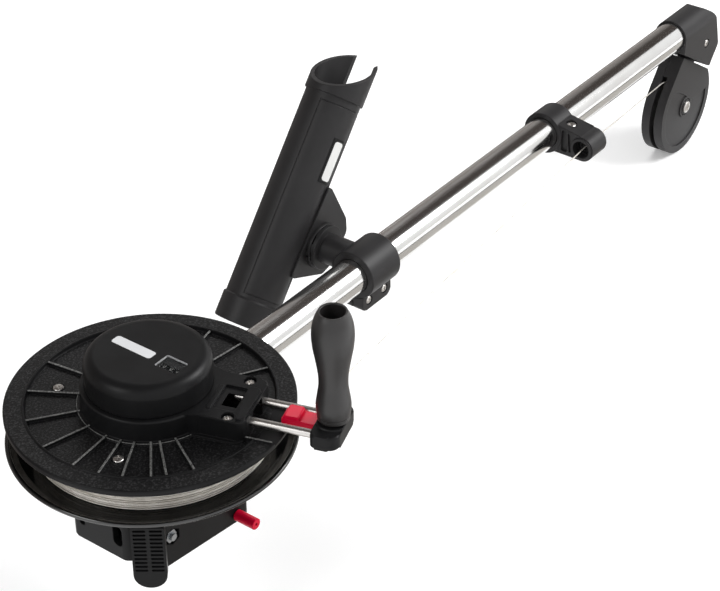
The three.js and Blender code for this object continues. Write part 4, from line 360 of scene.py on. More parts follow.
def block(x0, x1, y0, y1, z0, z1, bevel=0.0, steps=3):
    bm = bmesh.new()
    bmesh.ops.create_cube(bm, size=1.0)
    centre = Matrix.Translation(((x0 + x1) / 2, (y0 + y1) / 2, (z0 + z1) / 2))
    bm.transform(centre @ Matrix.Diagonal((x1 - x0, y1 - y0, z1 - z0, 1)))
    if bevel:
        roundEdges(bm, bm.edges[:], bevel, steps)
    return fromBmesh(bm)


def turned(profile, count, axis="Z", at=(0.0, 0.0, 0.0)):
    # A closed profile of radius and height, turned about an axis
    bm = bmesh.new()
    rings = []
    for radius, height in profile:
        if radius < 1e-6:
            rings.append([bm.verts.new((0, 0, height))])
            continue
        rings.append([bm.verts.new((x, y, height)) for x, y in circle2d(radius, count)])
    for i, ring in enumerate(rings):
        other = rings[(i + 1) % len(rings)]
        if len(ring) == 1 and len(other) == 1:
            continue
        for k in range(count):
            n = (k + 1) % count
            corners = [ring[k % len(ring)], ring[n % len(ring)], other[n % len(other)], other[k % len(other)]]
            bm.faces.new(list(dict.fromkeys(corners)))
    bm.transform(Matrix.Translation(at) @ alongAxis[axis])
    return fromBmesh(bm)


def rod(radius, low, high, count, axis="Z", at=(0.0, 0.0), bevel=0.0):
    # A round bar along an axis; "at" is its place on the two other axes, in order
    profile = [(0, low), (radius, low), (radius, high), (0, high)]
    if bevel:
        profile = rounded([(0, low, 0), (radius, low, bevel), (radius, high, bevel), (0, high, 0)], 0, 4)
    centre = {"X": (0, at[0], at[1]), "Y": (at[0], 0, at[1]), "Z": (at[0], at[1], 0)}[axis]
    return turned(profile, count, axis, centre)


def carve(base, add=(), cut=(), keep=()):
    # Joins, trims and cuts in that order, and leaves one mesh
    tools = [("UNION", t) for t in add] + [("INTERSECT", t) for t in keep] + [("DIFFERENCE", t) for t in cut]
    for operation, tool in tools:
        step = base.modifiers.new(operation, "BOOLEAN")
        step.operation = operation
        step.solver = "MANIFOLD"
        step.object = tool
    bpy.context.view_layer.update()
    seen = base.evaluated_get(bpy.context.evaluated_depsgraph_get())
    made = bpy.data.meshes.new_from_object(seen)
    base.modifiers.clear()
    base.data = made
    for operation, tool in tools:
        bpy.data.objects.remove(tool)
    return base


def soften(shape, width, where=None, sharper=40, steps=3):
    # Rounds the edges that are sharper than an angle, where the test for an edge's middle says so
    bm = bmesh.new()
    bm.from_mesh(shape.data)
    bmesh.ops.remove_doubles(bm, verts=bm.verts, dist=0.002)
    limit = math.radians(sharper)
    chosen = []
    for edge in bm.edges:
        middle = (edge.verts[0].co + edge.verts[1].co) / 2
        if len(edge.link_faces) == 2 and edge.calc_face_angle(0) > limit and (where is None or where(middle)):
            chosen.append(edge)
    roundEdges(bm, chosen, width, steps)
    bm.to_mesh(shape.data)
    bm.free()
    return shape


def coat(part, *finishes):
    part.data.materials.clear()
    for finish in finishes:
        part.data.materials.append(finish)


def shadeSmooth(part, degrees):
    for face in part.data.polygons:
        face.use_smooth = True
    part.data.set_sharp_from_angle(angle=math.radians(degrees))


def piece(name, shape, finish, stands=(), body=None, smooth=38, others=(), pick=None):
    # Makes a shape into a finished piece, in metres, on the body that it moves with. Where it has other finishes,
    # "pick" says which face gets which, from the face's middle and normal
    shape.name = name
    shape.data.name = name
    coat(shape, finish, *others)
    if others:
        for face in shape.data.polygons:
            face.material_index = int(pick(face.center, face.normal))
    shape.data.transform(Matrix.Scale(metre, 4))
    shadeSmooth(shape, smooth)
    even = shape.modifiers.new("evenNormals", "WEIGHTED_NORMAL")
    even.keep_sharp = True
    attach(shape, body or nodeBody[stands[0]])
    if stands:
        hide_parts(*stands)
    return shape


def dress(node, finish):
    # A carried-over part keeps its shape and gets its material
    part = frame["nodes"][node]
    coat(part, finish)
    shadeSmooth(part, 38)


# Screws: domed stainless heads with a cross recess, whose lengths follow the radius

screwData = {"recessWidth": 0.24, "recessLength": 1.25, "recessDepth": 0.5, "domeShare": 0.55}


def panHead(radius, low, high):
    # Head up Z from its seat: straight wall, then a dome, with a cross recess
    d = screwData
    height = high - low
    wall = low + height * (1 - d["domeShare"])
    slopes = [t * math.pi / 12 for t in range(6)]
    dome = [(radius * math.cos(a), wall + (high - wall) * math.sin(a)) for a in slopes]
    head = turned([(0, low), (radius, low), *dome, (0, high)], sides["small"])
    half = radius * d["recessWidth"] / 2
    reach = radius * d["recessLength"] / 2
    depth = (high - height * d["recessDepth"], high + past)
    return carve(head, cut=[block(-reach, reach, -half, half, *depth), block(-half, half, -reach, reach, *depth)])


def hexagon(radius, low, high, bore=0.0, bevel=0.3, start=0.0):
    made = prism(arcSpots(radius, [start + 60 * k for k in range(6)]), low, high, bevel, 2)
    return carve(made, cut=[rod(bore, low - past, high + past, sides["small"])]) if bore else made


# Frame: a moulded block with a round pad, the boom's socket, a bay for the lever and a seat for the shoe

frameData = {
    "rear": -51,
    "front": 45,
    "left": 41,
    "rightAtRear": -38.7,
    "rightAtFront": -51.4,
    "blockTop": 72,
    "padTop": 76,
    "padRadius": 38,
    "wall": 6,
    "deck": 8,
    "corner": 5,
    "cavityLeft": 7,
    "edge": 1.2,
    "bayCornerRadius": 8,
    "axleRadius": 4,
    "rearSlot": (-9.8, -0.8, 11.5, 30.5),
    "rearSlotRound": 4.4,
    "rearSlotDepth": 12,
    "rearHole": (30.1, 16.5),
    "rearHoleDepth": 10,
}
boomData = {"radius": 15.875, "wall": 1.65, "y": 30, "z": 55, "rear": -44, "front": 872}
boltData = {
    "places": (-22, 72),
    "hole": 2.8,
    "shank": 2.5,
    "shankBeyond": 3.4,
    "head": 5.0,
    "headHeight": 3,
    "seatHole": 5.3,
    "sunk": 3,
}
socketData = {"radius": 20.3, "front": 95, "ribThickness": 8, "ribFront": 88, "ribDrop": 30}
shoeData = {
    "height": 14,
    "rear": -44.5,
    "front": 38.5,
    "left": 21,
    "rightInset": 7,
    "hole": 3.3,
    "holes": ((-26, 12), (-26, -22), (26, 12), (26, -22)),
}
bayData = {"left": -12, "front": -17, "cheek": 4, "openLeft": -17, "openFront": -40, "openTop": 60}
hingeData = {"x": -31, "z": 25, "bolt": 3, "nut": 5.8, "nutThickness": 2.6, "pocket": 7.6, "pocketDepth": 3.6}
pinData = {
    "x": 31,
    "z": 7.5,
    "radius": 4.6,
    "collarAt": 35.1,
    "outEnd": -69,
    "shank": 2.6,
    "tip": -34,
    "eye": 1.3,
    "eyeDepth": 6,
}
boomAt = (boomData["y"], boomData["z"])
hingeAt = (hingeData["x"], hingeData["z"])
pinAt = (pinData["x"], pinData["z"])


def rightFace(x):
    share = (x - frameData["rear"]) / (frameData["front"] - frameData["rear"])
    return frameData["rightAtRear"] + (frameData["rightAtFront"] - frameData["rightAtRear"]) * share


def besideRightFace(rear, front, left, inset):
    return [(rear, left), (rear, rightFace(rear) + inset), (front, rightFace(front) + inset), (front, left)]


def boomSleeve(rear, front, radius, count, bevel=0.0):
    # A round bar about the boom's own line
    return rod(radius, rear, front, count, "X", boomAt, bevel)


def mainFrame():
    f, b, s, bay, shoe, h = frameData, boomData, socketData, bayData, shoeData, hingeData
    outline = rounded(besideRightFace(f["rear"], f["front"], f["left"], 0), f["corner"], 6)
    body = prism(outline, 0, f["blockTop"], f["edge"])
    pad = rod(f["padRadius"], f["blockTop"] - 2, f["padTop"], sides["large"], bevel=0.8)
    socket = boomSleeve(f["rear"], s["front"], s["radius"], sides["large"], 1.5)
    ribRear, ribTop = f["front"] - 2, b["z"] - s["radius"]
    ribOutline = [
        (ribRear, b["z"]),
        (ribRear, ribTop - s["ribDrop"] / 2),
        (s["ribFront"], ribTop + past),
        (s["ribFront"], b["z"]),
    ]
    ribHalf = s["ribThickness"] / 2
    rib = prism(ribOutline, b["y"] - ribHalf, b["y"] + ribHalf, 0.8, axis="Y")
    ceiling = f["blockTop"] - f["deck"]
    cheekFront = bay["front"] + bay["cheek"]
    cheekLeft = bay["left"] + bay["cheek"]
    inner = f["rear"] + f["wall"]
    outerRear, outerLeft = f["rear"] - 2, bay["openLeft"] - 2
    r = f["bayCornerRadius"]
    centre = (f["rear"] + r, bay["openLeft"] + r)
    bayCorner = [
        (outerRear, centre[1]),
        *arcSpots(r, range(180, 271, 15), *centre),
        (centre[0], outerLeft),
        (outerRear, outerLeft),
    ]
    nutSide = rightFace(h["x"])
    nutPocket = arcSpots(h["pocket"], [60 * k + 30 for k in range(6)], *hingeAt)
    cavity = besideRightFace(cheekFront, f["front"] - f["wall"], f["cavityLeft"], f["wall"])
    rear, front = shoe["rear"] - gap, shoe["front"] + gap
    shoeSeat = besideRightFace(rear, front, shoe["left"] + gap, shoe["rightInset"] - gap)
    rearSlot = box2d(*f["rearSlot"], f["rearSlotRound"], 8)
    pinHole = rightFace(pinData["x"])
    behind, beside = f["rear"] - past, f["rightAtFront"] - past
    cuts = [
        prism(cavity, shoe["height"], ceiling),
        block(inner, cheekFront + past, cheekLeft, f["cavityLeft"], shoe["height"], ceiling),
        prism(besideRightFace(inner, bay["front"], bay["left"], f["wall"]), shoe["height"], ceiling),
        block(behind, bay["openFront"], beside, bay["openLeft"], -past, bay["openTop"]),
        prism(bayCorner, -past, bay["openTop"]),
        prism(shoeSeat, -past, shoe["height"] + gap),
        boomSleeve(b["rear"] - gap, s["front"] + past, b["radius"] + gap, sides["large"]),
        rod(f["axleRadius"] + gap, ceiling - past, f["padTop"] + past, sides["small"]),
        rod(h["bolt"] + gap, nutSide - 2, cheekLeft + past, sides["small"], "Y", hingeAt),
        prism(nutPocket, nutSide - 3, nutSide + h["pocketDepth"], axis="Y"),
        prism(rearSlot, behind, f["rear"] + f["rearSlotDepth"], axis="X"),
        rod(boltData["hole"], behind, f["rear"] + f["rearHoleDepth"], sides["small"], "X", f["rearHole"]),
        rod(pinData["shank"] + gap, pinHole - 6, pinHole + 8, sides["small"], "Y", pinAt),
    ]
    seat = b["y"] + s["radius"] - boltData["sunk"]
    boltEnd = b["y"] - b["radius"] - boltData["shankBeyond"] - gap
    for x in boltData["places"]:
        spot = (x, b["z"])
        cuts.append(rod(boltData["hole"], boltEnd, seat + past, sides["tiny"], "Y", spot))
        cuts.append(rod(boltData["seatHole"], seat, seat + s["radius"], sides["small"], "Y", spot))
    return carve(body, add=[pad, socket, rib], cut=cuts)


piece("mainFrame", mainFrame(), satinNylon, ["main_frame"])


def mountShoe():
    s = shoeData
    step = (bayData["openFront"], rightFace(bayData["openFront"]) + s["rightInset"])
    outline = [
        (s["rear"], s["left"]),
        (s["rear"], bayData["openLeft"]),
        (bayData["openFront"], bayData["openLeft"]),
        step,
        (s["front"], rightFace(s["front"]) + s["rightInset"]),
        (s["front"], s["left"]),
    ]
    plate = prism(rounded(outline, 1.0, 3), 0, s["height"], 0.8)
    holes = [rod(s["hole"], -past, s["height"] + past, sides["small"], at=spot) for spot in s["holes"]]
    p = pinData
    pinHole = rod(p["shank"] + gap, rightFace(s["front"]), p["tip"] + gap, sides["small"], "Y", pinAt)
    return carve(plate, cut=[*holes, pinHole])


piece("mountShoe", mountShoe(), satinNylon, ["mount_shoe"])


def lockPin():
    p = pinData
    collar = rightFace(p["collarAt"]) - gap
    profile = [
        (0, p["tip"]),
        (p["shank"], p["tip"], 0.6),
        (p["shank"], collar),
        (p["radius"], collar, 0.5),
        (p["radius"], p["outEnd"], 0.5),
        (p["eye"], p["outEnd"], 0.2),
        (p["eye"], p["outEnd"] + p["eyeDepth"]),
        (0, p["outEnd"] + p["eyeDepth"]),
    ]
    return turned(rounded(profile), sides["mid"], "Y", (p["x"], 0, p["z"]))


piece("lockPin", lockPin(), redAcetal, ["lock_pin"])


# Lever: a finger plate with paired grooves, on an arm that turns about the hinge bolt

leverData = {
    "heading": 217,
    "faceOut": 78.2,
    "thickness": 7,
    "width": 24.5,
    "bottom": 1.5,
    "top": 58,
    "footRound": 12.0,
    "endRadius": 12.2,
    "eyeRadius": 8,
    "eyeLength": 12.5,
    "armHalfHeight": 7,
    "rows": 11,
    "pitch": 3.7,
    "grooveDepth": 1.6,
    "grooveHeight": 2.0,
    "grooveLength": 9.4,
    "spine": 2.4,
    "firstRow": 17.2,
}


def leverShape():
    d = leverData
    inner = d["faceOut"] - d["thickness"]
    half = d["width"] / 2
    feet = [(-half, d["bottom"], d["footRound"]), (half, d["bottom"], d["footRound"])]
    outline = rounded([*feet, (half, d["top"], 1.5), (-half, d["top"], 1.5)], 0, 10)
    plate = prism(outline, inner, d["faceOut"], 2.2, 5, axis="X")
    grooves = []
    for row in range(d["rows"]):
        low = d["firstRow"] + row * d["pitch"]
        for side in (-1, 1):
            near, far = sorted((side * d["spine"] / 2, side * (d["spine"] / 2 + d["grooveLength"])))
            shape = box2d(near, far, low, low + d["grooveHeight"], d["grooveHeight"] * 0.48, 4)
            grooves.append(prism(shape, d["faceOut"] - d["grooveDepth"], d["faceOut"] + past, axis="X"))
    handle = turn(carve(plate, cut=grooves), d["heading"])
    c, s = math.cos(math.radians(d["heading"])), math.sin(math.radians(d["heading"]))
    reach = inner + past
    onPlate = half - d["endRadius"] / 2
    spots = [(reach * c - a * s, reach * s + a * c) for a in (onPlate, -onPlate)]
    eyeRight = rightFace(hingeData["x"]) + frameData["wall"] + gap + 1
    eyeLeft = eyeRight + d["eyeLength"]
    armOutline = [
        (hingeData["x"], eyeRight),
        (bayData["openFront"] - gap, eyeRight),
        *spots,
        (hingeData["x"] - d["eyeRadius"] * 1.5, eyeLeft),
        (hingeData["x"], eyeLeft),
    ]
    arm = prism(armOutline, hingeData["z"] - d["armHalfHeight"], hingeData["z"] + d["armHalfHeight"], 0.8)
    eye = rod(d["eyeRadius"], eyeRight, eyeLeft, sides["mid"], "Y", hingeAt, 0.5)
    bore = rod(hingeData["bolt"] + gap, eyeRight - past, eyeLeft + past, sides["small"], "Y", hingeAt)
    return carve(handle, add=[arm, eye], cut=[bore])


piece("latchLever", leverShape(), satinNylon, ["latch_lever"])

nutSeat = rightFace(hingeData["x"]) + hingeData["pocketDepth"] - gap
nutRear = nutSeat - hingeData["nutThickness"]
leverNut = hexagon(hingeData["nut"], nutRear, nutSeat, hingeData["bolt"] + 0.1, 0.4, 30)
piece("leverNut", standAt(leverNut, "Y", (hingeData["x"], 0, hingeData["z"])), zincSteel, ["lever_nut"])
print("frame and lever made")

# Boom: polished tube with a square-cut wall, and the bolts that hold it


def boomTube():
    b = boomData
    bore = b["radius"] - b["wall"]
    profile = [(bore, b["rear"]), (b["radius"], b["rear"]), (b["radius"], b["front"]), (bore, b["front"])]
    through = (b["y"] - 2 * b["radius"], b["y"] + 2 * b["radius"])
    holes = [rod(boltData["hole"], *through, sides["tiny"], "Y", (x, b["z"])) for x in boltData["places"]]
    return carve(turned(rounded(profile, 0.3), sides["large"], "X", (0, *boomAt)), cut=holes)


piece("boomTube", boomTube(), polishedTube, ["boom"])
for number, x in enumerate(boltData["places"], 1):
    seat = boomData["y"] + socketData["radius"] - boltData["sunk"] + gap
    head = standAt(panHead(boltData["head"], 0, boltData["headHeight"]), "Y", (x, seat, boomData["z"]))
    farEnd = boomData["y"] - boomData["radius"] - boltData["shankBeyond"]
    shank = rod(boltData["shank"], farEnd, seat + 1.5, sides["small"], "Y", (x, boomData["z"]))
    piece("boomBolt" + str(number), carve(head, add=[shank]), zincSteel, ["boom_bolt_" + str(number)])

# Spool: flange, drum and long sleeve in one glossy moulding, as a profile of radius, height and rounding

spoolData = {
    "profile": [
        (7.3, 78.6),
        (13, 78.6, 0.6),
        (13, 102.9, 1.0),
        (80.4, 102.9, 1.0),
        (80.4, 80.2, 0.8),
        (99, 80.2, 3.0),
        (105.0, 83.0, 1.5),
        (107.3, 83.6, 1.2),
        (107.3, 86.6, 1.3),
        (103.8, 86.6, 1.3),
        (103.1, 84.6, 0.7),
        (99, 82.6, 4.0),
        (83, 82.6, 0.5),
        (83, 109.5, 0.6),
        (80.4, 109.5, 0.6),
        (80.4, 105.4, 0.5),
        (5.5, 105.4, 1.0),
        (5.5, 136.6, 0.3),
        (4.3, 136.6, 0.2),
        (4.3, 96.9),
        (7.3, 96.9),
    ],
    "polishedFrom": 103,
    "polishedAbove": 84,
}


def onFlangeRim(middle, normal):
    return math.hypot(middle.x, middle.y) > spoolData["polishedFrom"] and middle.z > spoolData["polishedAbove"]


spoolShape = turned(rounded(spoolData["profile"]), sides["rim"])
piece("spoolBody", spoolShape, glossyAbs, ["spool_body"], others=(rimAbs,), pick=onFlangeRim)

# Winding: one unbroken wire wound up and down in layers over the layers beneath

windingData = {
    "wire": 0.4,
    "coreInner": 83.3,
    "coreRadius": 87.5,
    "coreLow": 82.9,
    "coreHigh": 109.2,
    "low": 83.6,
    "high": 109.0,
    "loops": 27,
    "stepsPerLoop": 72,
    "wireSides": 7,
    "backLoops": 7,
    "backTo": 93.0,
    "wobble": 0.2,
    "unevenness": 0.38,
}


def wireAlong(points, radius, count):
    # A round wire along a list of points, with a strip of its own for the strand pattern
    bm = bmesh.new()
    strip = bm.loops.layers.uv.new("strand")
    rings = []
    lengths = [0.0]
    for i in range(1, len(points)):
        lengths.append(lengths[-1] + (points[i] - points[i - 1]).length)
    for i, point in enumerate(points):
        tangent = (points[min(i + 1, len(points) - 1)] - points[max(i - 1, 0)]).normalized()
        side = tangent.cross(Vector((0, 0, 1)))
        side = side.normalized() if side.length > 1e-4 else Vector((0, 1, 0))
        lift = side.cross(tangent).normalized()
        spots = [2 * math.pi * k / count for k in range(count)]
        rings.append([bm.verts.new(point + (side * math.cos(a) + lift * math.sin(a)) * radius) for a in spots])
    for i in range(len(points) - 1):
        for k in range(count):
            n = (k + 1) % count
            face = bm.faces.new((rings[i][k], rings[i][n], rings[i + 1][n], rings[i + 1][k]))
            marks = [(lengths[i], k), (lengths[i], k + 1), (lengths[i + 1], k + 1), (lengths[i + 1], k)]
            for loop, (along, across) in zip(face.loops, marks):
                loop[strip].uv = (along / (radius * 3.2), across / count)
    bm.faces.new(rings[0][::-1])
    bm.faces.new(rings[-1])
    return fromBmesh(bm)


def windingShape():
    # Up the drum loop by loop, then partly back down over them. Slow waves make the turns lie a little uneven
    w = windingData
    low, high = w["low"] + w["wire"], w["high"] - w["wire"]
    radius = w["coreRadius"] + w["wire"]
    points = []

    def layAt(angle, r, z):
        points.append(Vector((r * math.cos(angle), r * math.sin(angle), min(max(z, low), high))))

    total = w["loops"] * w["stepsPerLoop"]
    for i in range(total + 1):
        angle = 2 * math.pi * i / w["stepsPerLoop"]
        sway = w["wobble"] * (math.sin(angle * 1.7) + math.sin(angle * 0.61 + 1.3))
        z = low + (high - low) * i / total + sway * 0.6
        layAt(angle, radius + w["unevenness"] * math.sin(angle * 0.43), z)
    lastAngle = 2 * math.pi * w["loops"]
    back = w["backLoops"] * w["stepsPerLoop"]
    for i in range(1, back + 1):
        angle = lastAngle + 2 * math.pi * i / w["stepsPerLoop"]
        ease = min(1.0, i / 18)
        z = high - (high - w["backTo"]) * (i / back + 0.05 * math.sin(angle * 0.8))
        layAt(angle, radius + 2 * w["wire"] * 0.92 * ease, z)
    return wireAlong(points, w["wire"], w["wireSides"])


def windingCore():
    w = windingData
    inner, outer, low, high = w["coreInner"], w["coreRadius"], w["coreLow"], w["coreHigh"]
    return turned(rounded([(inner, low), (outer, low, 0.3), (outer, high, 0.3), (inner, high)]), sides["rim"])


piece("cableLayers", windingCore(), wireRope, ["cable_layers"])
piece("cableWinding", windingShape(), wireRope, ["cable_winding"], smooth=80)
print("boom and spool made")

# Crank plate: everything in the crank's own frame, X along the arm, turned to its heading at the end

crankData = {
    "heading": -72,
    "radius": 106,
    "bottom": 110,
    "top": 115,
    "floor": 112.6,
    "bandInner": 92.4,
    "bandLip": 0.9,
    "lipWidth": 1.6,
    "ribHeadings": (-175, -162, -151, -138.3, -131.5, -119, -30, -6.5, 12, 35, 60, 98, 121.5, 144, 165.5),
    "ribStart": 51.2,
    "ribHalf": 0.9,
    "ribHeight": 2.4,
    "ledgeRadius": 53.4,
    "ledgeHeight": 1.5,
    "platformRadius": 50,
    "platformTop": 130.5,
    "hole": 6.1,
    "bossStart": 8,
    "bossEnd": 83,
    "bossHalf": 27,
    "skirtStart": 20,
    "skirtWidth": 3,
    "neck": ((0, 6, 0), (9, 3, 5), (19, 0, 8), (26, -0.5, 0)),  # along the arm, out from the boss, rounding
    "bar": ((71.8, 13, 1.2), (81.6, 13, 3), (81.8, -24.4, 5), (76, -25.4, 1.2)),
    "barTop": 132.6,
    "recess": (54.6, 71.4, -15.6, 12.4),
    "recessFloor": 128.9,
    "window": (59, 73, -9.6, 5.2),
    "rodView": (59, 73, 5, 15, 119, 128.5),
    "windowRib": (50.8, 54, -18, 10.7),
    "channelHalf": 21.8,
    "channelEnd": 108,
    "channelFloor": 112.8,
    "channelTop": 131.5,
    "channelRidge": (76, 102.2),
    "ridgeWidth": 1.6,
    "ridgeHeight": 1.4,
    "pocket": (53, 84),
    "pocketHalf": 8.6,
    "pocketCeiling": 128.5,
    "rodSpread": 12,
    "rodRadius": 3.175,
    "rodZ": 122.2,
    "rodHole": (10.5, 84),
    "above": 134,
}
plateScrewData = {
    "headings": (-157.2, 115, 25),
    "circle": 70,
    "seat": 111.4,
    "onBoss": ((69, -22, 126.4), (69, 22, 126.4)),
    "hole": 2.2,
    "seatHole": 4.8,
    "head": 4.1,
    "headHeight": 2.4,
    "shank": 1.9,
    "shankEnd": 106.6,
    "twist": 17,
}


def toHeading(shape):
    return turn(shape, crankData["heading"])


def screwPlaces():
    d = plateScrewData
    ring = arcSpots(d["circle"], [heading - crankData["heading"] for heading in d["headings"]])
    return [*((x, y, d["seat"]) for x, y in ring), *d["onBoss"]]


def armOutline(start, end, half, radius):
    corners = [(start, -half), (end, -half, radius), (end, half, radius), (start, half)]
    return rounded(corners, 0, 8)


def crankPlate():
    c = crankData
    lipTop, ledgeTop = c["top"] + c["bandLip"], c["floor"] + c["ledgeHeight"]
    lipInner, half = c["bandInner"] - c["lipWidth"], c["bossHalf"]
    profile = [
        (c["hole"], c["bottom"]),
        (c["radius"], c["bottom"], 0.9),
        (c["radius"], c["top"], 1.5),
        (c["bandInner"], c["top"], 0.4),
        (c["bandInner"] - 0.4, lipTop, 0.4),
        (lipInner, lipTop, 0.4),
        (lipInner - 0.8, c["floor"], 0.7),
        (c["ledgeRadius"] + 0.3, c["floor"], 0.4),
        (c["ledgeRadius"], ledgeTop, 0.5),
        (c["platformRadius"] + 0.9, ledgeTop, 0.7),
        (c["platformRadius"], c["platformTop"], 1.8),
        (c["hole"], c["platformTop"]),
    ]
    plate = turned(rounded(profile), sides["rim"])
    low = c["floor"] - past
    boss = prism(armOutline(c["bossStart"], c["bossEnd"], half, 7), low, c["platformTop"], 1.6, 4)
    neckStart = math.sqrt(c["platformRadius"] ** 2 - half**2) - 12
    rightSide = [(neckStart + along, -half - out, r) for along, out, r in c["neck"]]
    neckOutline = rightSide + [(x, -y, r) for x, y, r in reversed(rightSide)]
    neck = prism(rounded(neckOutline, 0, 6), low, c["platformTop"], 1.2, 3)
    skirtOutline = armOutline(c["skirtStart"], c["bossEnd"] - 1, half + c["skirtWidth"], 8)
    skirt = prism(skirtOutline, low, ledgeTop, 0.5, 2)
    bar = prism(rounded(c["bar"]), c["platformTop"] - past, c["barTop"], 0.7, 3)
    windowRib = prism(box2d(*c["windowRib"], 1.2, 4), c["platformTop"] - 0.5, c["platformTop"] + 0.8, 0.4, 3)
    added = [boss, neck, skirt, bar]
    thin, ribTop = c["ribHalf"], c["floor"] + c["ribHeight"]
    for heading in c["ribHeadings"]:
        rib = block(c["ribStart"], c["bandInner"] - past, -thin, thin, low, ribTop, thin * 0.6, 3)
        added.append(turn(rib, heading - c["heading"]))
    for side in (-1, 1):
        near, far = sorted((side * c["channelHalf"], side * (c["channelHalf"] + c["ridgeWidth"])))
        added.append(block(*c["channelRidge"], near, far, low, c["top"] + c["ridgeHeight"], 0.5, 3))
    added.append(windowRib)
    channelSides = (-c["channelHalf"], c["channelHalf"])
    cuts = [
        block(c["bossEnd"], c["channelEnd"], *channelSides, c["channelFloor"], c["channelTop"]),
        block(*c["pocket"], -c["pocketHalf"], c["pocketHalf"], c["channelFloor"], c["pocketCeiling"]),
        prism(box2d(*c["recess"], 1.4), c["recessFloor"], c["above"]),
        prism(box2d(*c["window"], 1.2), c["rodZ"], c["platformTop"] - 0.1),
        block(*c["rodView"]),
        rod(c["hole"], c["bottom"] - 2, c["above"], sides["mid"]),
    ]
    for side in (-1, 1):
        spot = (side * c["rodSpread"], c["rodZ"])
        cuts.append(rod(c["rodRadius"] + gap, *c["rodHole"], sides["small"], "X", spot))
    for x, y, seat in screwPlaces():
        cuts.append(rod(plateScrewData["hole"], c["bottom"] - past, seat + past, sides["tiny"], at=(x, y)))
        cuts.append(rod(plateScrewData["seatHole"], seat, c["above"], sides["small"], at=(x, y)))
    return toHeading(carve(plate, add=added, cut=cuts))


def plateSkin(middle, normal):
    # 1 on the eroded recess floor and rim band, 2 on the crests' upward faces, which get the painted highlight,
    # else 0
    c = crankData
    radius = math.hypot(middle.x, middle.y)
    above = middle.z - c["floor"]
    inRecess = radius < c["bandInner"] - 2
    onFloor = above < 0.6 and normal.z > 0.9 and c["platformRadius"] < radius and inRecess
    onBand = abs(middle.z - c["top"]) < 0.1 and normal.z > 0.9 and radius > c["bandInner"]
    onRib = 1.9 < above < 2.6 and c["ledgeRadius"] < radius and inRecess
    onRidge = 1.1 < middle.z - c["top"] < 1.6
    onLedge = abs(radius - c["ledgeRadius"]) < 0.5 and 1.1 < above < 1.8
    if normal.z > 0.35 and (onRib or onRidge or onLedge):
        return 2
    return int(onFloor or onBand)


plateShape = crankPlate()
# The crests' upward faces get the pale nylon: a painted highlight
plateOthers = (erodedNylon, crestHighlightNylon)
piece("crankPlate", plateShape, satinNylon, ["crank_plate"], smooth=32, others=plateOthers, pick=plateSkin)
for number, (x, y, seat) in enumerate(screwPlaces(), 1):
    d = plateScrewData
    head = panHead(d["head"], seat + gap, seat + gap + d["headHeight"])
    screw = carve(head, add=[rod(d["shank"], d["shankEnd"], seat + 0.8, sides["tiny"])])
    screw = toHeading(shift(turn(screw, d["twist"] * number), x, y))
    piece("plateScrew" + str(number), screw, brightSteel, ["plate_screw_" + str(number)])
print("crank plate made")

# Crank arm: rods, end block, latch and grip

armData = {
    "rods": (61.5, 142),
    "inner": 129,
    "outer": 150,
    "near": -22.5,
    "far": 21,
    "bottom": 117.4,
    "top": 129,
    "keelHalf": 9,
    "keelBottom": 114,
    "spindleX": 140,
    "spindle": 4,
    "rodDepth": 13.3,
    "ring": (9, 12.9, 14.4),  # bore, step under the grip, outside
    "ringHeight": 1.1,
    "ringSides": (-17, 18),
    "tongue": (101, 6, 2.4),  # end, half width, thickness
}


for side, label in ((-1, "Front"), (1, "Rear")):
    spot = (side * crankData["rodSpread"], crankData["rodZ"])
    bar = rod(crankData["rodRadius"], *armData["rods"], sides["small"], "X", spot, 0.6)
    piece("armRod" + label, toHeading(bar), brightSteel, ["arm_rod_" + label.lower()])


def endBlock():
    a, c = armData, crankData
    inner, outer, near, far = a["inner"], a["outer"], a["near"], a["far"]
    outline = [(inner, near, 4), (outer, near, 8), (outer, far, 8), (inner, far, 4)]
    body = prism(rounded(outline, 0, 8), a["bottom"], a["top"], 2.2, 5)
    keelHeights = (a["keelBottom"], a["bottom"] + 2)
    keel = block(inner + 0.5, outer - 2, -a["keelHalf"], a["keelHalf"], *keelHeights, 1.0, 3)
    bore, step, outside = a["ring"]
    ringTop = a["top"] + a["ringHeight"]
    ringProfile = [
        (bore, a["top"] - past),
        (outside, a["top"] - past),
        (outside, a["top"] + 0.2, 0.2),
        (outside - 0.8, ringTop, 0.6),
        (bore, ringTop),
    ]
    ring = turned(rounded(ringProfile), sides["mid"], at=(a["spindleX"], 0, 0))
    trim = box2d(inner + 0.6, outer - 0.4, *a["ringSides"])
    ring = carve(ring, keep=[prism(trim, 100, 140)])
    end, half, thickness = a["tongue"]
    tongue = block(end, inner + 2, -half, half, a["keelBottom"], a["keelBottom"] + thickness, 0.4)
    cuts = []
    for side in (-1, 1):
        spot = (side * c["rodSpread"], c["rodZ"])
        cuts.append(rod(c["rodRadius"] + gap, inner - past, inner + a["rodDepth"], sides["small"], "X", spot))
    spot = (a["spindleX"], 0)
    cuts.append(rod(a["spindle"] + gap, a["bottom"] + gap, c["above"], sides["small"], at=spot))
    cuts.append(rod(step, a["top"] + 0.6, c["above"], sides["mid"], at=spot))
    return toHeading(carve(body, add=[keel, ring, tongue], cut=cuts))


piece("armEndBlock", endBlock(), satinNylon, ["arm_end_block"])

latchData = {
    "inner": 102.6,
    "outer": 128.5,
    "near": -5.6,
    "far": 8.2,
    "bottom": 119,
    "shelf": 124.8,
    "button": (102.8, 116.6),
    "top": 128.2,
}


def armLatch():
    d = latchData
    bar = prism(box2d(d["inner"], d["outer"], d["near"], d["far"], 0.8, 3), d["bottom"], d["shelf"], 0.5, 3)
    low, high = d["button"]
    root = d["shelf"] - past
    outline = rounded([(low, root), (high, root), (high - 0.8, d["top"], 1.2), (low + 2.2, d["top"], 1.4)])
    button = prism(outline, d["near"] + 0.2, d["far"] - 0.2, 1.2, 4, axis="Y")
    return toHeading(carve(bar, add=[button]))


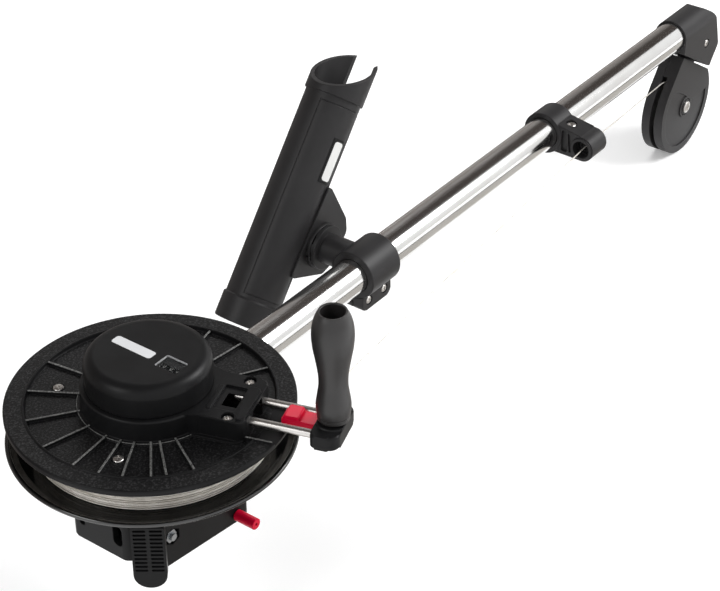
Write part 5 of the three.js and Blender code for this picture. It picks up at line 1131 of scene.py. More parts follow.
piece("armLatch", armLatch(), redAcetal, ["arm_latch"])

gripData = {
    "bottom": 131,
    "foot": 11.0,
    "points": [  # height and radius up the outside
        (131, 11.6),
        (134, 11.9),
        (143, 12.6),
        (152, 11.5),
        (160, 10.5),
        (170, 10.8),
        (182, 12.6),
        (193, 14.4),
        (203, 15.0),
        (211, 14.2),
        (217, 12.4),
        (221, 10.4),
    ],
    "mouth": 8.9,
    "seat": 195,
    "bore": 4.3,
    "stepsPerSpan": 6,
    "lines": (133.2, 135.0),
    "lineWidth": 0.5,
    "lineRadius": 11.62,
    "nut": 7,
    "nutHeight": 4,
    "spindle": (118, 196.5),
}


def smoothCurve(points, steps):
    # Catmull-Rom through points of (height, radius), given back as (radius, height)
    made = []
    for i in range(len(points) - 1):
        p = [Vector(points[max(min(i + k, len(points) - 1), 0)]) for k in (-1, 0, 1, 2)]
        for s in range(steps):
            t = s / steps
            v = 0.5 * (
                2 * p[1]
                + (p[2] - p[0]) * t
                + (2 * p[0] - 5 * p[1] + 4 * p[2] - p[3]) * t * t
                + (3 * p[1] - p[0] - 3 * p[2] + p[3]) * t * t * t
            )
            made.append((v.y, v.x))
    made.append((points[-1][1], points[-1][0]))
    return made


def gripShape():
    g = gripData
    at = (armData["spindleX"], 0, 0)
    mouth = rounded([(g["mouth"] + 1.4, 221.3), (g["mouth"], 221.0, 0.5), (g["mouth"] - 0.4, 215)])[:-1]
    profile = [
        (g["bore"], g["bottom"]),
        (g["foot"], g["bottom"]),
        *smoothCurve(g["points"], g["stepsPerSpan"])[1:],
        *mouth,
        (g["mouth"] - 0.6, g["seat"]),
        (g["bore"], g["seat"]),
    ]
    lines = []
    for z in g["lines"]:
        top = z + g["lineWidth"]
        ring = turned([(11.2, z), (13.5, z), (13.5, top), (11.2, top)], sides["mid"], at=at)
        inside = rod(g["lineRadius"], g["bottom"], 138, sides["mid"], at=at[:2])
        lines.append(carve(ring, cut=[inside]))
    return carve(turned(profile, sides["large"], at=at), cut=lines)


def gripSpindle():
    g, x = gripData, armData["spindleX"]
    low = g["seat"] + gap
    head = shift(hexagon(g["nut"], low, low + g["nutHeight"], bevel=0.6), x)
    return carve(head, add=[rod(armData["spindle"], *g["spindle"], sides["small"], at=(x, 0))])


piece("grip", toHeading(gripShape()), gripPolymer, ["grip"], smooth=50)
piece("gripSpindle", toHeading(gripSpindle()), zincSteel, ["grip_spindle"])
print("crank arm made")

# Counter: cover with its window, blank plate, drums and numerals

coverData = {
    "radius": 46.5,
    "bottom": 131,
    "top": 155.3,
    "wall": 2.2,
    "shoulder": 9.5,
    "window": (-9, 6, -33.4, -14.3),
    "windowDepth": 1.7,
    "pane": (153.9, 154.7),
    "slit": (-6.9, -1.9, -32.6, -17.0),
    "plate": (-6.0, 3.0, -7.0, 30.0),
    "plateDepth": 0.35,
    "plateHeight": (154.96, 155.24),
    "plateCorner": 2.2,
}


def inset2d(box, width, radius, steps=5):
    rear, front, right, left = box
    return box2d(rear + width, front - width, right + width, left - width, radius, steps)


def counterCover():
    d = coverData
    inside, under = d["radius"] - d["wall"], d["top"] - d["wall"]
    outer = [
        (inside, d["bottom"]),
        (d["radius"], d["bottom"], 0.3),
        (d["radius"], d["top"], d["shoulder"]),
        (0, d["top"]),
        (0, under),
        (inside, under, d["shoulder"] - d["wall"]),
    ]
    shell = turned(rounded(outer, 0, 16), sides["rim"])
    recess = prism(box2d(*d["window"], 1.6), d["top"] - d["windowDepth"], d["top"] + past)
    opening = prism(box2d(*d["slit"], 0.6, 4), 150, d["top"])
    seat = prism(box2d(*d["plate"], d["plateCorner"], 6), d["top"] - d["plateDepth"], d["top"] + past)
    return carve(shell, cut=[recess, opening, seat])


def onWindowWall(middle, normal):
    rear, front, right, left = coverData["window"]
    inside = rear - 0.1 < middle.x < front + 0.1 and right - 0.1 < middle.y < left + 0.1
    return inside and abs(normal.z) < 0.5 and middle.z > coverData["top"] - coverData["windowDepth"]


coverShape = counterCover()
silvered = (silverVinyl,)
piece("counterCover", coverShape, satinNylon, ["counter_cover"], smooth=30, others=silvered, pick=onWindowWall)
pane = prism(inset2d(coverData["window"], gap, 1.4), *coverData["pane"], 0.2, 2)
piece("counterPane", pane, acrylic, ["counter_window"]).visible_shadow = False
blank = inset2d(coverData["plate"], gap / 2, coverData["plateCorner"], 6)
blank = prism(blank, *coverData["plateHeight"], 0.06, 2)
piece("counterPlate", blank, silverVinyl, body="frame")

digitData = {
    "x": -1.5,
    "z": 143,
    "radius": 8.2,
    "width": 5.8,
    "first": -14.9,
    "pitch": 6.2,
    "height": 3.7,
    "narrow": 0.85,
    "ink": 0.06,
    "inkDepth": 0.12,
    "bore": 1.8,
}


def numeral(character):
    curve = bpy.data.curves.new("numeral", "FONT")
    curve.body = character
    curve.align_x = "CENTER"
    curve.align_y = "CENTER"
    curve.resolution_u = 6
    shape = link(bpy.data.objects.new("numeral", curve))
    bpy.context.view_layer.update()
    mesh = bpy.data.meshes.new_from_object(shape.evaluated_get(bpy.context.evaluated_depsgraph_get()))
    bpy.data.objects.remove(shape)
    bpy.data.curves.remove(curve)
    bm = bmesh.new()
    bm.from_mesh(mesh)
    bpy.data.meshes.remove(mesh)
    bmesh.ops.remove_doubles(bm, verts=bm.verts, dist=1e-5)
    return bm


def wrapOnDrum(bm, drumMiddle, turnBy):
    # Lays flat numerals round a drum: right is -Y, up is along +X at the top of the drum
    d = digitData
    lows = [min(v.co[i] for v in bm.verts) for i in range(2)]
    highs = [max(v.co[i] for v in bm.verts) for i in range(2)]
    scale = d["height"] / (highs[1] - lows[1])
    middle = [(a + b) / 2 for a, b in zip(lows, highs)]
    bmesh.ops.triangulate(bm, faces=bm.faces[:])
    bmesh.ops.subdivide_edges(bm, edges=[e for e in bm.edges if e.calc_length() * scale > 0.8], cuts=2)
    bmesh.ops.triangulate(bm, faces=bm.faces[:])
    for vert in bm.verts:
        u = (vert.co.x - middle[0]) * scale * d["narrow"]
        v = (vert.co.y - middle[1]) * scale
        angle = v / d["radius"] + turnBy
        r = d["radius"] + d["ink"]
        vert.co = (d["x"] + r * math.sin(angle), drumMiddle - u, d["z"] + r * math.cos(angle))
    return bm


def drumNumerals(left):
    d = digitData
    whole = bmesh.new()
    for number in range(10):
        bm = wrapOnDrum(numeral(str(number)), left - d["width"] / 2, 2 * math.pi * number / 10)
        mesh = bpy.data.meshes.new("numeral")
        bm.to_mesh(mesh)
        bm.free()
        whole.from_mesh(mesh)
        bpy.data.meshes.remove(mesh)
    made = bmesh.ops.extrude_face_region(whole, geom=whole.faces[:])
    for vert in [item for item in made["geom"] if isinstance(item, bmesh.types.BMVert)]:
        radial = Vector((vert.co.x - d["x"], 0, vert.co.z - d["z"])).normalized()
        vert.co -= radial * d["inkDepth"]
    return fromBmesh(whole)


for row, label in enumerate(("hundreds", "tens", "units")):
    d = digitData
    left = d["first"] - row * d["pitch"]
    at = (d["x"], d["z"])
    drum = rod(d["radius"], left - d["width"], left, sides["mid"], "Y", at, 0.3)
    drum = carve(drum, cut=[rod(d["bore"], left - 8, left + 2, sides["tiny"], "Y", at)])
    piece(label + "Drum", drum, satinNylon, [label + "_wheel"])
    piece(label + "Numerals", drumNumerals(left), counterInk, body=nodeBody[label + "_wheel"])
print("counter made")

# Rod-holder clamp on the boom

clampData = {
    "rear": 284,
    "front": 324,
    "radius": 22,
    "earHalf": 11.5,
    "earBottom": 21.5,
    "postX": 304,
    "postZ": 57,
    "postRadius": 13.5,
    "ringRadius": 20,
    "ringInner": 71,
    "ringOuter": 75.5,
    "notches": 8,
    "notch": (14.5, 21, 3.9, 1.2),  # from, to, half width, depth
    "bolt": 3,
    "boltDepth": 16.3,
    "screwZ": 30,
    "screwPlaces": (293, 315),
    "screw": 2,
    "screwHead": 3.6,
    "screwHeadHeight": 2.6,
    "seatHole": 4.3,
}
postAt = (clampData["postX"], clampData["postZ"])
postCentre = (clampData["postX"], 0, clampData["postZ"])


def holderClamp():
    d, b = clampData, boomData
    band = boomSleeve(d["rear"], d["front"], d["radius"], sides["large"], 1.2)
    right, left = b["y"] - d["earHalf"], b["y"] + d["earHalf"]
    rear, front, foot = d["rear"], d["front"], d["earBottom"]
    ears = [(rear, foot, 5), (front, foot, 5), (front, b["z"]), (rear, b["z"])]
    ears = prism(rounded(ears, 0, 6), right, left, 1.0, axis="Y")
    stem = rod(d["postRadius"], b["y"], d["ringInner"] + past, sides["mid"], "Y", postAt)
    ring = rod(d["ringRadius"], d["ringInner"], d["ringOuter"], sides["large"], "Y", postAt, 0.5)
    cuts = [
        boomSleeve(rear - past, front + past, b["radius"] + gap, sides["large"]),
        block(rear - past, front + past, b["y"] - 1, b["y"] + 1, foot - past, b["z"]),
        rod(d["bolt"] + gap, d["ringOuter"] - d["boltDepth"], d["ringOuter"] + past, sides["small"], "Y", postAt),
    ]
    seat = right + d["screwHeadHeight"]
    for x in d["screwPlaces"]:
        spot = (x, d["screwZ"])
        cuts.append(rod(d["screw"] + gap, seat - past, left + past, sides["tiny"], "Y", spot))
        cuts.append(rod(d["seatHole"], right - past, seat, sides["small"], "Y", spot))
    start, end, half, depth = d["notch"]
    for k in range(d["notches"]):
        notch = block(start, end, d["ringOuter"] - depth, d["ringOuter"] + past, -half, half)
        spoke = Matrix.Rotation(k * 2 * math.pi / d["notches"], 4, "Y")
        cuts.append(place(notch, Matrix.Translation(postCentre) @ spoke))
    return carve(band, add=[ears, stem, ring], cut=cuts)


piece("holderClamp", holderClamp(), paleFittingNylon, ["holder_clamp"])
for number, x in enumerate(clampData["screwPlaces"], 1):
    d = clampData
    seat = boomData["y"] - d["earHalf"] + d["screwHeadHeight"] - gap
    shank = rod(d["screw"], seat - boomData["y"] - d["earHalf"], 0.6, sides["tiny"])
    screw = carve(panHead(d["screwHead"], 0, d["screwHeadHeight"]), add=[shank])
    screw = standAt(screw, "-Y", (x, seat, d["screwZ"]))
    piece("clampScrew" + str(number), screw, brightSteel, ["clamp_screw_" + str(number)])

# Rod holder: tube with an askew mouth, a slot, collars, a panel line and a blank plate, on a gusset and hub

holderData = {
    "y": 106,
    "tilt": 38.5,
    "foot": (229.0, 4.1),
    "length": 234.8,
    "mouthLean": 36,
    "radius": 25,
    "bore": 21,
    "mouthBore": 23.3,
    "flareLength": 58,
    "collar": 26.6,
    "collarLength": 22.5,
    "topCollar": 25,
    "slotWidth": 26,
    "slotDepth": 28.5,
    "slotHeading": -10,
    "gusset": [(319, 110, 4), (341, 66, 8), (342, 52, 8), (322, 30, 8), (306, 26, 8), (262, 44, 4)],
    "hubRadius": 20,
    "hubOuter": 84,
    "plateThickness": 5,
    "panel": (-171, -40, 27, 204),
    "panelGroove": 0.9,
    "label": (-109.5, -86, 140, 175),
    "labelFrame": (5, 2.5),  # degrees and millimetres beyond the label
    "boltHead": 5,
    "boltHeadHeight": 3.4,
    "boltLength": 24.2,
}


def alongHolderMatrix():
    d = holderData
    tilt = Matrix.Rotation(math.radians(d["tilt"]), 4, "Y")
    return Matrix.Translation((d["foot"][0], d["y"], d["foot"][1])) @ tilt


def alongHolder(shape):
    return place(shape, alongHolderMatrix())


def wedge(fromAngle, toAngle, low, high, reach=60):
    steps = max(4, int((toAngle - fromAngle) / 6))
    angles = [fromAngle + (toAngle - fromAngle) * k / steps for k in range(steps + 1)]
    return prism([(0, 0), *arcSpots(reach, angles)], low, high)


def ringShell(inner, outer, low, high):
    return turned([(inner, low), (outer, low), (outer, high), (inner, high)], sides["rim"])


def rodHolder():
    d = holderData
    lean = math.radians(d["mouthLean"])
    top = d["length"] + d["collar"] * math.tan(lean)
    step = d["length"] - d["topCollar"]
    profile = [
        (d["bore"], 0, 1.0),
        (d["collar"], 0, 1.2),
        (d["collar"], d["collarLength"], 1.2),
        (d["radius"], d["collarLength"] + 1.0, 0.5),
        (d["radius"], step, 0.4),
        (d["collar"], step, 1.0),
        (d["collar"], top, 0.4),
        (d["mouthBore"], top, 0.4),
        (d["mouthBore"], d["length"] - d["flareLength"] / 2, 40),
        (d["bore"], d["length"] - d["flareLength"], 40),
    ]
    tube = turned(rounded(profile, 0, 4), sides["rim"])
    reach = 2 * d["collar"]
    mouth = block(-reach, reach, -reach, reach, 0, reach)
    mouth = shift(turn(mouth, -d["mouthLean"], "Y"), z=d["length"])
    half = d["slotWidth"] / 2
    foot = d["length"] - d["slotDepth"] + half
    slot = turn(block(0, reach, -half, half, foot, top + 2), d["slotHeading"])
    slotEnd = turn(rod(half, 0, reach, sides["mid"], "X", (0, foot)), d["slotHeading"])
    start, end, low, high = d["panel"]
    w = d["panelGroove"]
    turnedIn = math.degrees(w / d["radius"])
    groove = carve(
        ringShell(d["radius"] - 0.5, d["radius"] + 0.8, low, high),
        keep=[wedge(start, end, low - past, high + past)],
        cut=[wedge(start + turnedIn, end - turnedIn, low + w, high - w)],
    )
    tube = alongHolder(carve(tube, cut=[mouth, slot, slotEnd, groove]))
    plateInner = d["hubOuter"] - d["plateThickness"]
    gusset = prism(rounded(d["gusset"], 3, 8), plateInner, d["hubOuter"], 1.0, axis="Y")
    ringOuter = clampData["ringOuter"]
    hub = rod(d["hubRadius"], ringOuter + gap, d["hubOuter"], sides["large"], "Y", postAt, 0.8)
    bolt = rod(clampData["bolt"] + gap, ringOuter - past, d["hubOuter"] + past, sides["small"], "Y", postAt)
    clear = alongHolder(rod(d["bore"], -past, top + 2, sides["rim"]))
    finished = carve(carve(tube, add=[gusset, hub]), cut=[bolt, clear])
    upright = alongHolderMatrix().inverted()

    def onLip(point):
        near = upright @ point
        return abs(-near.x * math.sin(lean) + (near.z - d["length"]) * math.cos(lean)) < 0.05

    return soften(finished, 0.9, onLip, 30, 3)


def labelFrame():
    d, r = holderData, holderData["radius"]
    start, end, low, high = d["label"]
    turnedOut, out = d["labelFrame"]
    shell = ringShell(r - 0.3, r + 0.45, low - out, high + out)
    return carve(shell, keep=[wedge(start - turnedOut, end + turnedOut, low - out, high + out)])


def blankLabel():
    d, r = holderData, holderData["radius"]
    start, end, low, high = d["label"]
    half = r * math.sin(math.radians(end - start) / 2)
    outline = prism(box2d(-half, half, low, high, 2.6, 6), r - 5, r + 5, axis="X")
    return carve(ringShell(r + 0.1, r + 0.6, low, high), keep=[turn(outline, (start + end) / 2)])


piece("rodHolder", rodHolder(), paleFittingNylon, ["rod_holder"], smooth=34)
piece("holderPlateFrame", alongHolder(labelFrame()), smoothNylonAndHoleShade, body="rod_holder")
piece("holderPlate", alongHolder(blankLabel()), whiteVinyl, body="rod_holder")
boltHead = hexagon(holderData["boltHead"], 0, holderData["boltHeadHeight"], bevel=0.4)
holderBolt = carve(boltHead, add=[rod(clampData["bolt"], -holderData["boltLength"], 1, sides["small"])])
boltSpot = (clampData["postX"], holderData["hubOuter"] + gap, clampData["postZ"])
piece("holderBolt", standAt(holderBolt, "Y", boltSpot), brightSteel, ["holder_bolt"])
print("rod holder made")

# Cable guide and its eyelet

guideData = {
    "middle": 600,
    "rear": 586.5,
    "front": 613.5,
    "radius": 20.5,
    "bottom": 39,
    "top": 69,
    "shoulder": 12,
    "hole": (-12.5, 51.5),
    "endRadius": 12.5,
    "endTurn": 192,
    "ring": 11.4,
    "bore": 6.7,
    "flare": 8.6,
    "flareFrom": 4.8,
    "screw": (600, 7),
    "screwSeat": 64.3,
    "screwRadius": 4.6,
    "screwShank": 2,
    "pockets": [  # outline, its rounding and its depth
        ([(2.5, 43), (9.5, 43), (9.5, 65), (5.5, 65)], 1.5, 3.4),
        ([(-1.3, 45), (0.7, 43), (3.4, 64.2), (0.6, 62)], 0.8, 3),
    ],
    "eyelet": [(3.6, -6.2, 0.8), (7.2, -6.2, 0.4), (7.2, -5.1), (6.4, -4.8), (6.4, 4.5, 0.4), (3.6, 4.5, 0.8)],
}


def guideArm():
    # Seen along the boom: down from the screw's shoulder to a round end about the hole, and back underneath
    d = guideData
    middle = boomData["y"]
    end = arcSpots(d["endRadius"], [-90 - d["endTurn"] * k / 40 for k in range(41)], *d["hole"])
    outline = [(middle, d["bottom"]), *end, (d["shoulder"], d["top"]), (middle, d["top"])]
    return prism(outline, d["rear"] + 1, d["front"] - 1, 1.2, 3, axis="X")


def cableGuide():
    d, b = guideData, boomData
    band = boomSleeve(d["rear"], d["front"], d["radius"], sides["large"], 1.0)
    ring = rod(d["ring"], d["rear"] - 0.4, d["rear"] + 3, sides["mid"], "X", d["hole"], 0.7)
    rear, front = d["rear"] - 2 * past, d["front"] + 2 * past
    cuts = [
        boomSleeve(rear, front, b["radius"] + gap, sides["large"]),
        rod(d["bore"], rear, front, sides["mid"], "X", d["hole"]),
        rod(d["flare"], rear, d["middle"] - d["flareFrom"], sides["mid"], "X", d["hole"]),
        rod(d["flare"], d["middle"] + d["flareFrom"], front, sides["mid"], "X", d["hole"]),
        rod(d["screwShank"] + gap, d["bottom"] - past, d["top"] + past, sides["tiny"], at=d["screw"]),
        rod(d["screwRadius"] + 0.7, d["top"] - 5, d["top"] + past, sides["small"], at=d["screw"]),
    ]
    for outline, radius, depth in d["pockets"]:
        cuts.append(prism(rounded(outline, radius, 4), d["rear"] - past, d["rear"] + depth, axis="X"))
    return carve(band, add=[guideArm(), ring], cut=cuts)


piece("cableGuide", cableGuide(), paleFittingNylon, ["cable_guide"])
# The eyelet is dark: painted shade in the guide's hole
eyelet = turned(rounded(guideData["eyelet"]), sides["mid"], "X", (guideData["middle"], *guideData["hole"]))
piece("guideEyelet", eyelet, smoothNylonAndHoleShade, ["guide_eyelet"])
screwSeat = guideData["screwSeat"]
head = panHead(guideData["screwRadius"], screwSeat, screwSeat + 3)
screw = carve(head, add=[rod(guideData["screwShank"], guideData["bottom"], screwSeat + 0.7, sides["tiny"])])
piece("guideScrew", shift(screw, *guideData["screw"]), brightSteel, ["guide_screw"])

# Tip cap, with the inclined face that the pulley head turns on

tipData = {
    "rear": 836,
    "radius": 18,
    "topFront": 884,
    "brow": (902, 61, 22),
    "nose": (914, 22, 5),
    "chinX": 898,
    "faceAbove": 2.4,
    "screw": (886, 33),
    "screwHead": 3.9,
    "screwHeadHeight": 2.5,
    "screwShank": 1.5,
    "screwSunk": 2.4,
    "swivel": (870.9, 15.3),
    "swivelBore": 4.3,
    "swivelEnds": (-13, 29),
    "lean": 32,
}


def alongSwivel(shape):
    x, z = tipData["swivel"]
    lean = Matrix.Rotation(math.radians(tipData["lean"]), 4, "Y")
    return place(shape, Matrix.Translation((x, boomData["y"], z)) @ lean)


def swivelBore(low, high):
    return alongSwivel(rod(tipData["swivelBore"], low, high, sides["small"]))


def swivelFace(x, height):
    lean = math.radians(tipData["lean"])
    return tipData["swivel"][1] + (height - (x - tipData["swivel"][0]) * math.sin(lean)) / math.cos(lean)


def tipCap():
    d, b = tipData, boomData
    boltLow, boltHigh = d["swivelEnds"]
    top, right, left = b["z"] + d["radius"], b["y"] - d["radius"], b["y"] + d["radius"]
    outline = [
        (d["rear"], swivelFace(d["rear"], d["faceAbove"])),
        (d["rear"], top),
        (d["topFront"], top, 24),
        d["brow"],
        d["nose"],
        (d["chinX"], swivelFace(d["chinX"], d["faceAbove"]), 3),
    ]
    side = prism(rounded(outline, 0, 8), right - past, left + past, axis="Y")
    section = [*arcSpots(d["radius"], range(0, 181, 4), *boomAt), (right, 1, 1.5), (left, 1, 1.5)]
    body = prism(rounded(section, 0, 4), d["rear"], 916, 0, axis="X")
    cap = soften(carve(body, keep=[side]), 2.6, None, 35, 4)
    cuts = [
        boomSleeve(d["rear"] - past, b["front"] + gap, b["radius"] + gap, sides["large"]),
        swivelBore(boltLow, boltHigh + gap),
        rod(d["screwShank"] + gap, right - past, left - 2, sides["tiny"], "Y", d["screw"]),
        rod(5.0, right - past, right + d["screwSunk"], sides["small"], "Y", d["screw"]),
    ]
    return carve(cap, cut=cuts)


piece("tipCap", tipCap(), paleFittingNylon, ["tip_cap"])
tipSeat = boomData["y"] - tipData["radius"] + tipData["screwSunk"] - gap
head = panHead(tipData["screwHead"], 0, tipData["screwHeadHeight"])
screw = carve(head, add=[rod(tipData["screwShank"], -32, 0.6, sides["tiny"])])
screwX, screwZ = tipData["screw"]
piece("tipScrew", standAt(screw, "-Y", (screwX, tipSeat, screwZ)), brightSteel, ["tip_screw"])
print("guide and tip made")

# Pulley head: two halves round a slot

pulleyData = {
    "x": 864,
    "z": -35,
    "rear": 848,
    "front": 909,
    "radius": 52,
    "near": 18,
    "far": 42,
    "slotHalf": 2.6,
    "recess": 38,
    "recessDepth": 3.9,
    "spacerFloor": 10,
    "floorArc": (238, 58),
    "floorRadii": (43, 51.4),
    "relief": 44,
    "reliefDepth": 1.2,
    # The relief's upper edge and the far corners below it, from the sheave's centre
    "reliefEdge": [(-70, 34), (-20, 26, 30), (16, 2, 24), (70, 6), (70, -70), (-70, -70)],
    "boss": 12,
    "bossLine": (8.4, 9.4),
    "edge": 1.6,
}
sheaveData = {
    "bore": 4.3,
    "profile": [
        (4.3, -3.6),
        (36.5, -3.6, 0.5),
        (36.5, -2.4, 0.3),
        (31.2, 0, 1.4),
        (36.5, 2.4, 0.3),
        (36.5, 3.6, 0.5),
        (4.3, 3.6),
    ],
    "axle": 4,
    "head": 6.4,
    "headHeight": 2.6,
}
sheaveAt = (pulleyData["x"], pulleyData["z"])


def pulleyOutline():
    d = pulleyData
    centre = Vector(sheaveAt)
    rear = Vector((d["rear"], swivelFace(d["rear"], 0)))
    front = Vector((d["front"], swivelFace(d["front"], 0)))
    toRear = rear - centre
    start = math.atan2(toRear.y, toRear.x) + math.acos(d["radius"] / toRear.length)
    end = math.atan2(front.y - centre.y, front.x - centre.x) + 2 * math.pi
    angles = [start + (end - start) * k / 60 for k in range(61)]
    rim = [(d["x"] + d["radius"] * math.cos(a), d["z"] + d["radius"] * math.sin(a)) for a in angles]
    return [tuple(rear), *rim, tuple(front)]


def pulleySwivelBore():
    boltLow, boltHigh = tipData["swivelEnds"]
    return swivelBore(boltLow - gap, boltHigh)


def pulleyHalf(side):
    d, y = pulleyData, boomData["y"]
    outer = d["near"] if side < 0 else d["far"]
    low, high = sorted((outer, y + side * d["slotHalf"]))
    plate = prism(pulleyOutline(), low, high, axis="Y")
    plate = soften(plate, d["edge"], lambda p: abs(p.y - outer) < 0.01, 40, 4)
    recessLow, recessHigh = sorted((y, y + side * d["recessDepth"]))
    reliefLow, reliefHigh = sorted((outer - side * d["reliefDepth"], outer + side * 2))
    edgeCurve = rounded([(d["x"] + x, d["z"] + z, *radius) for x, z, *radius in d["reliefEdge"]], 0, 14)
    relief = carve(
        rod(d["relief"], reliefLow, reliefHigh, sides["large"], "Y", sheaveAt),
        keep=[prism(edgeCurve, reliefLow - past, reliefHigh + past, axis="Y")],
        cut=[rod(d["boss"], reliefLow - past, reliefHigh + past, sides["mid"], "Y", sheaveAt)],
    )
    inner, outside = d["bossLine"]
    bossLine = carve(
        rod(outside, reliefLow + 0.3, reliefHigh + 1, sides["mid"], "Y", sheaveAt),
        cut=[rod(inner, reliefLow - 1, reliefHigh + 2, sides["mid"], "Y", sheaveAt)],
    )
    cuts = [
        rod(d["recess"], recessLow, recessHigh, sides["large"], "Y", sheaveAt),
        relief,
        bossLine,
        rod(sheaveData["bore"], d["near"] - past, d["far"] + past, sides["small"], "Y", sheaveAt),
        pulleySwivelBore(),
    ]
    return carve(plate, cut=cuts)


def pulleyNearHalf():
    d, y = pulleyData, boomData["y"]
    low, high = y - d["slotHalf"] - past, y + d["slotHalf"] - gap
    wide = 2 * d["radius"]
    above = [block(d["x"] - wide, d["x"] + wide, low - past, high + past, d["spacerFloor"], d["z"] + wide)]
    crown = carve(prism(pulleyOutline(), low, high, axis="Y"), keep=above)
    start, sweep = d["floorArc"]
    arc = [start + sweep * k / 16 for k in range(17)]
    inner, outer = d["floorRadii"]
    floorOutline = arcSpots(outer, arc, *sheaveAt) + arcSpots(inner, arc, *sheaveAt)[::-1]
    floor = prism(floorOutline, low, high, axis="Y")
    beyond = block(
        d["x"] - d["radius"], d["x"] + d["radius"], high, d["far"], d["spacerFloor"] - d["radius"], d["z"] + wide
    )
    boss = carve(alongSwivel(rod(d["boss"], -1, 2.1, sides["mid"], bevel=0.4)), cut=[beyond])
    return carve(pulleyHalf(-1), add=[crown, floor, boss], cut=[pulleySwivelBore()])


def sheaveAxle():
    d, s = pulleyData, sheaveData
    near, far = d["near"] - gap, d["far"] + gap
    nearHead = standAt(panHead(s["head"], 0, s["headHeight"]), "-Y", (d["x"], near, d["z"]))
    farHead = standAt(hexagon(s["head"], 0, s["headHeight"], bevel=0.4), "Y", (d["x"], far, d["z"]))
    shank = rod(s["axle"], near - 0.5, far + 0.5, sides["small"], "Y", sheaveAt)
    return carve(shank, add=[nearHead, farHead])


piece("pulleyNearHalf", pulleyNearHalf(), paleFittingNylon, ["pulley_near_half"], smooth=34)
piece("pulleyFarHalf", pulleyHalf(1), paleFittingNylon, ["pulley_far_half"], smooth=34)
sheaveCentre = (pulleyData["x"], boomData["y"], pulleyData["z"])
sheaveShape = turned(rounded(sheaveData["profile"]), sides["large"], "Y", sheaveCentre)
piece("sheaveWheel", sheaveShape, whiteAcetal, ["sheave"])
piece("sheaveAxle", sheaveAxle(), brightSteel, ["sheave_axle"])
print("pulley head made")

# Cable: from the winding through the eyelet to the sheave, and over it to a crimped sleeve

cableData = {
    "radius": 0.6,
    "sides": 12,
    "start": (11, 93),
    "startRadius": 90.2,
    "mouth": (826, 29.7, 5.4),
    "onSheave": 32.1,
    "crimpDrop": 24,
    "crimpRadius": 1.7,
    "crimpHalf": 4.5,
}


def sheaveTangent():
    x, z = cableData["mouth"][0] - pulleyData["x"], cableData["mouth"][2] - pulleyData["z"]
    return math.atan2(z, x) - math.acos(cableData["onSheave"] / math.hypot(x, z))


def onSheave(angle):
    r = cableData["onSheave"]
    return Vector((pulleyData["x"] + r * math.cos(angle), boomData["y"], pulleyData["z"] + r * math.sin(angle)))


def between(points, longest):
    made = [points[0]]
    for a, b in zip(points, points[1:]):
        steps = max(1, math.ceil((b - a).length / longest))
        made.extend(a.lerp(b, k / steps) for k in range(1, steps + 1))
    return made


def cableRun():
    d = cableData
    x, z = d["start"]
    points = [
        Vector((x, -math.sqrt(d["startRadius"] ** 2 - x**2), z)),
        Vector((guideData["middle"], *guideData["hole"])),
        Vector(d["mouth"]),
        onSheave(sheaveTangent()),
    ]
    return wireAlong(between(points, 12), d["radius"], d["sides"])


crimpX = pulleyData["x"] + cableData["onSheave"]
crimpZ = pulleyData["z"] - cableData["crimpDrop"]


def cableTail():
    firstTurn = sheaveTangent() - 0.009
    points = [onSheave(firstTurn * (1 - k / 40)) for k in range(41)]
    points.append(Vector((crimpX, boomData["y"], crimpZ)))
    return wireAlong(between(points, 3), cableData["radius"], cableData["sides"])


def cableCrimp():
    d = cableData
    low, high = crimpZ - d["crimpHalf"], crimpZ + d["crimpHalf"]
    return rod(d["crimpRadius"], low, high, sides["small"], at=(crimpX, boomData["y"]), bevel=0.3)


piece("cableRun", cableRun(), wireRope, ["cable_run"], smooth=80)
piece("cableTail", cableTail(), wireRope, ["cable_tail"], smooth=80)
piece("cableCrimp", cableCrimp(), brightSteel, body="pulley_head")
print("cable made")

# Parts that keep the model's own shape: inside the machine, or under heads and covers

carriedOver = {
    "axle": brightSteel,
    "axle_nut": zincSteel,
    "top_nut": zincSteel,
    "thrust_washer": sinteredBronze,
    "spool_bush": sinteredBronze,
    "drive_gear": whiteAcetal,
    "clutch_ring": zincSteel,
    "counter_base": satinNylon,
    "counter_jack": whiteAcetal,
    "counter_shaft": whiteAcetal,
    "lever_bolt": zincSteel,
    "lever_spring": brightSteel,
    "latch_spring": brightSteel,
    "swivel_bolt": brightSteel,
}
for node, finish in carriedOver.items():
    dress(node, finish)

# Studio: a pale floor under white, soft light from the right and above, and a glowing graded sheet and strips that
# paint reflections into the steel

stageData = {
    "floor": -0.0871,
    "reach": 14,
    "world": 0.55,
    "lamps": {  # place, size and power
        "key": ((1.8, -1.35, 1.6), 1.2, 46),
        "fill": ((-1.8, 0.6, 1.6), 1.1, 14),
        "back": ((2.9, 2.1, 2.5), 1.6, 42),
    },
    "aim": (0.3, 0, 0.05),
    "glow": 0.22,
    "reflectionSheetRadius": 2.6,
    "reflectionSheetAngles": (1, 110),
    "reflectionSheetReach": (-4.0, 7.0),
    # Strips that glow only in the tube's mirror: painted reflections
    "strips": {  # along X, along Y and colour
        "farGrey": ((-4.0, 7.0), (0.16, 2.7), "#8d8783"),
        "darkLine": ((-0.1, 1.3), (-0.36, -0.28), "#2a2827"),
        "nearGrey": ((-0.1, 1.3), (-0.28, -0.02), "#cdc9c4"),
    },
}


def whenSeen(material, plain, seen):
    # The plain shader lights the object; the lens, and what metal and glass show, get the other one
    rays = addNode(material, "LightPath").outputs
    lensOrMirror = addNode(material, "Math", {0: rays["Is Camera Ray"], 1: rays["Is Glossy Ray"]}, operation="ADD")
    orGlass = {0: lensOrMirror.outputs[0], 1: rays["Is Transmission Ray"]}
    direct = addNode(material, "Math", orGlass, operation="ADD")
    return addNode(material, "MixShader", {0: direct.outputs[0], 1: plain.outputs[0], 2: seen.outputs[0]})


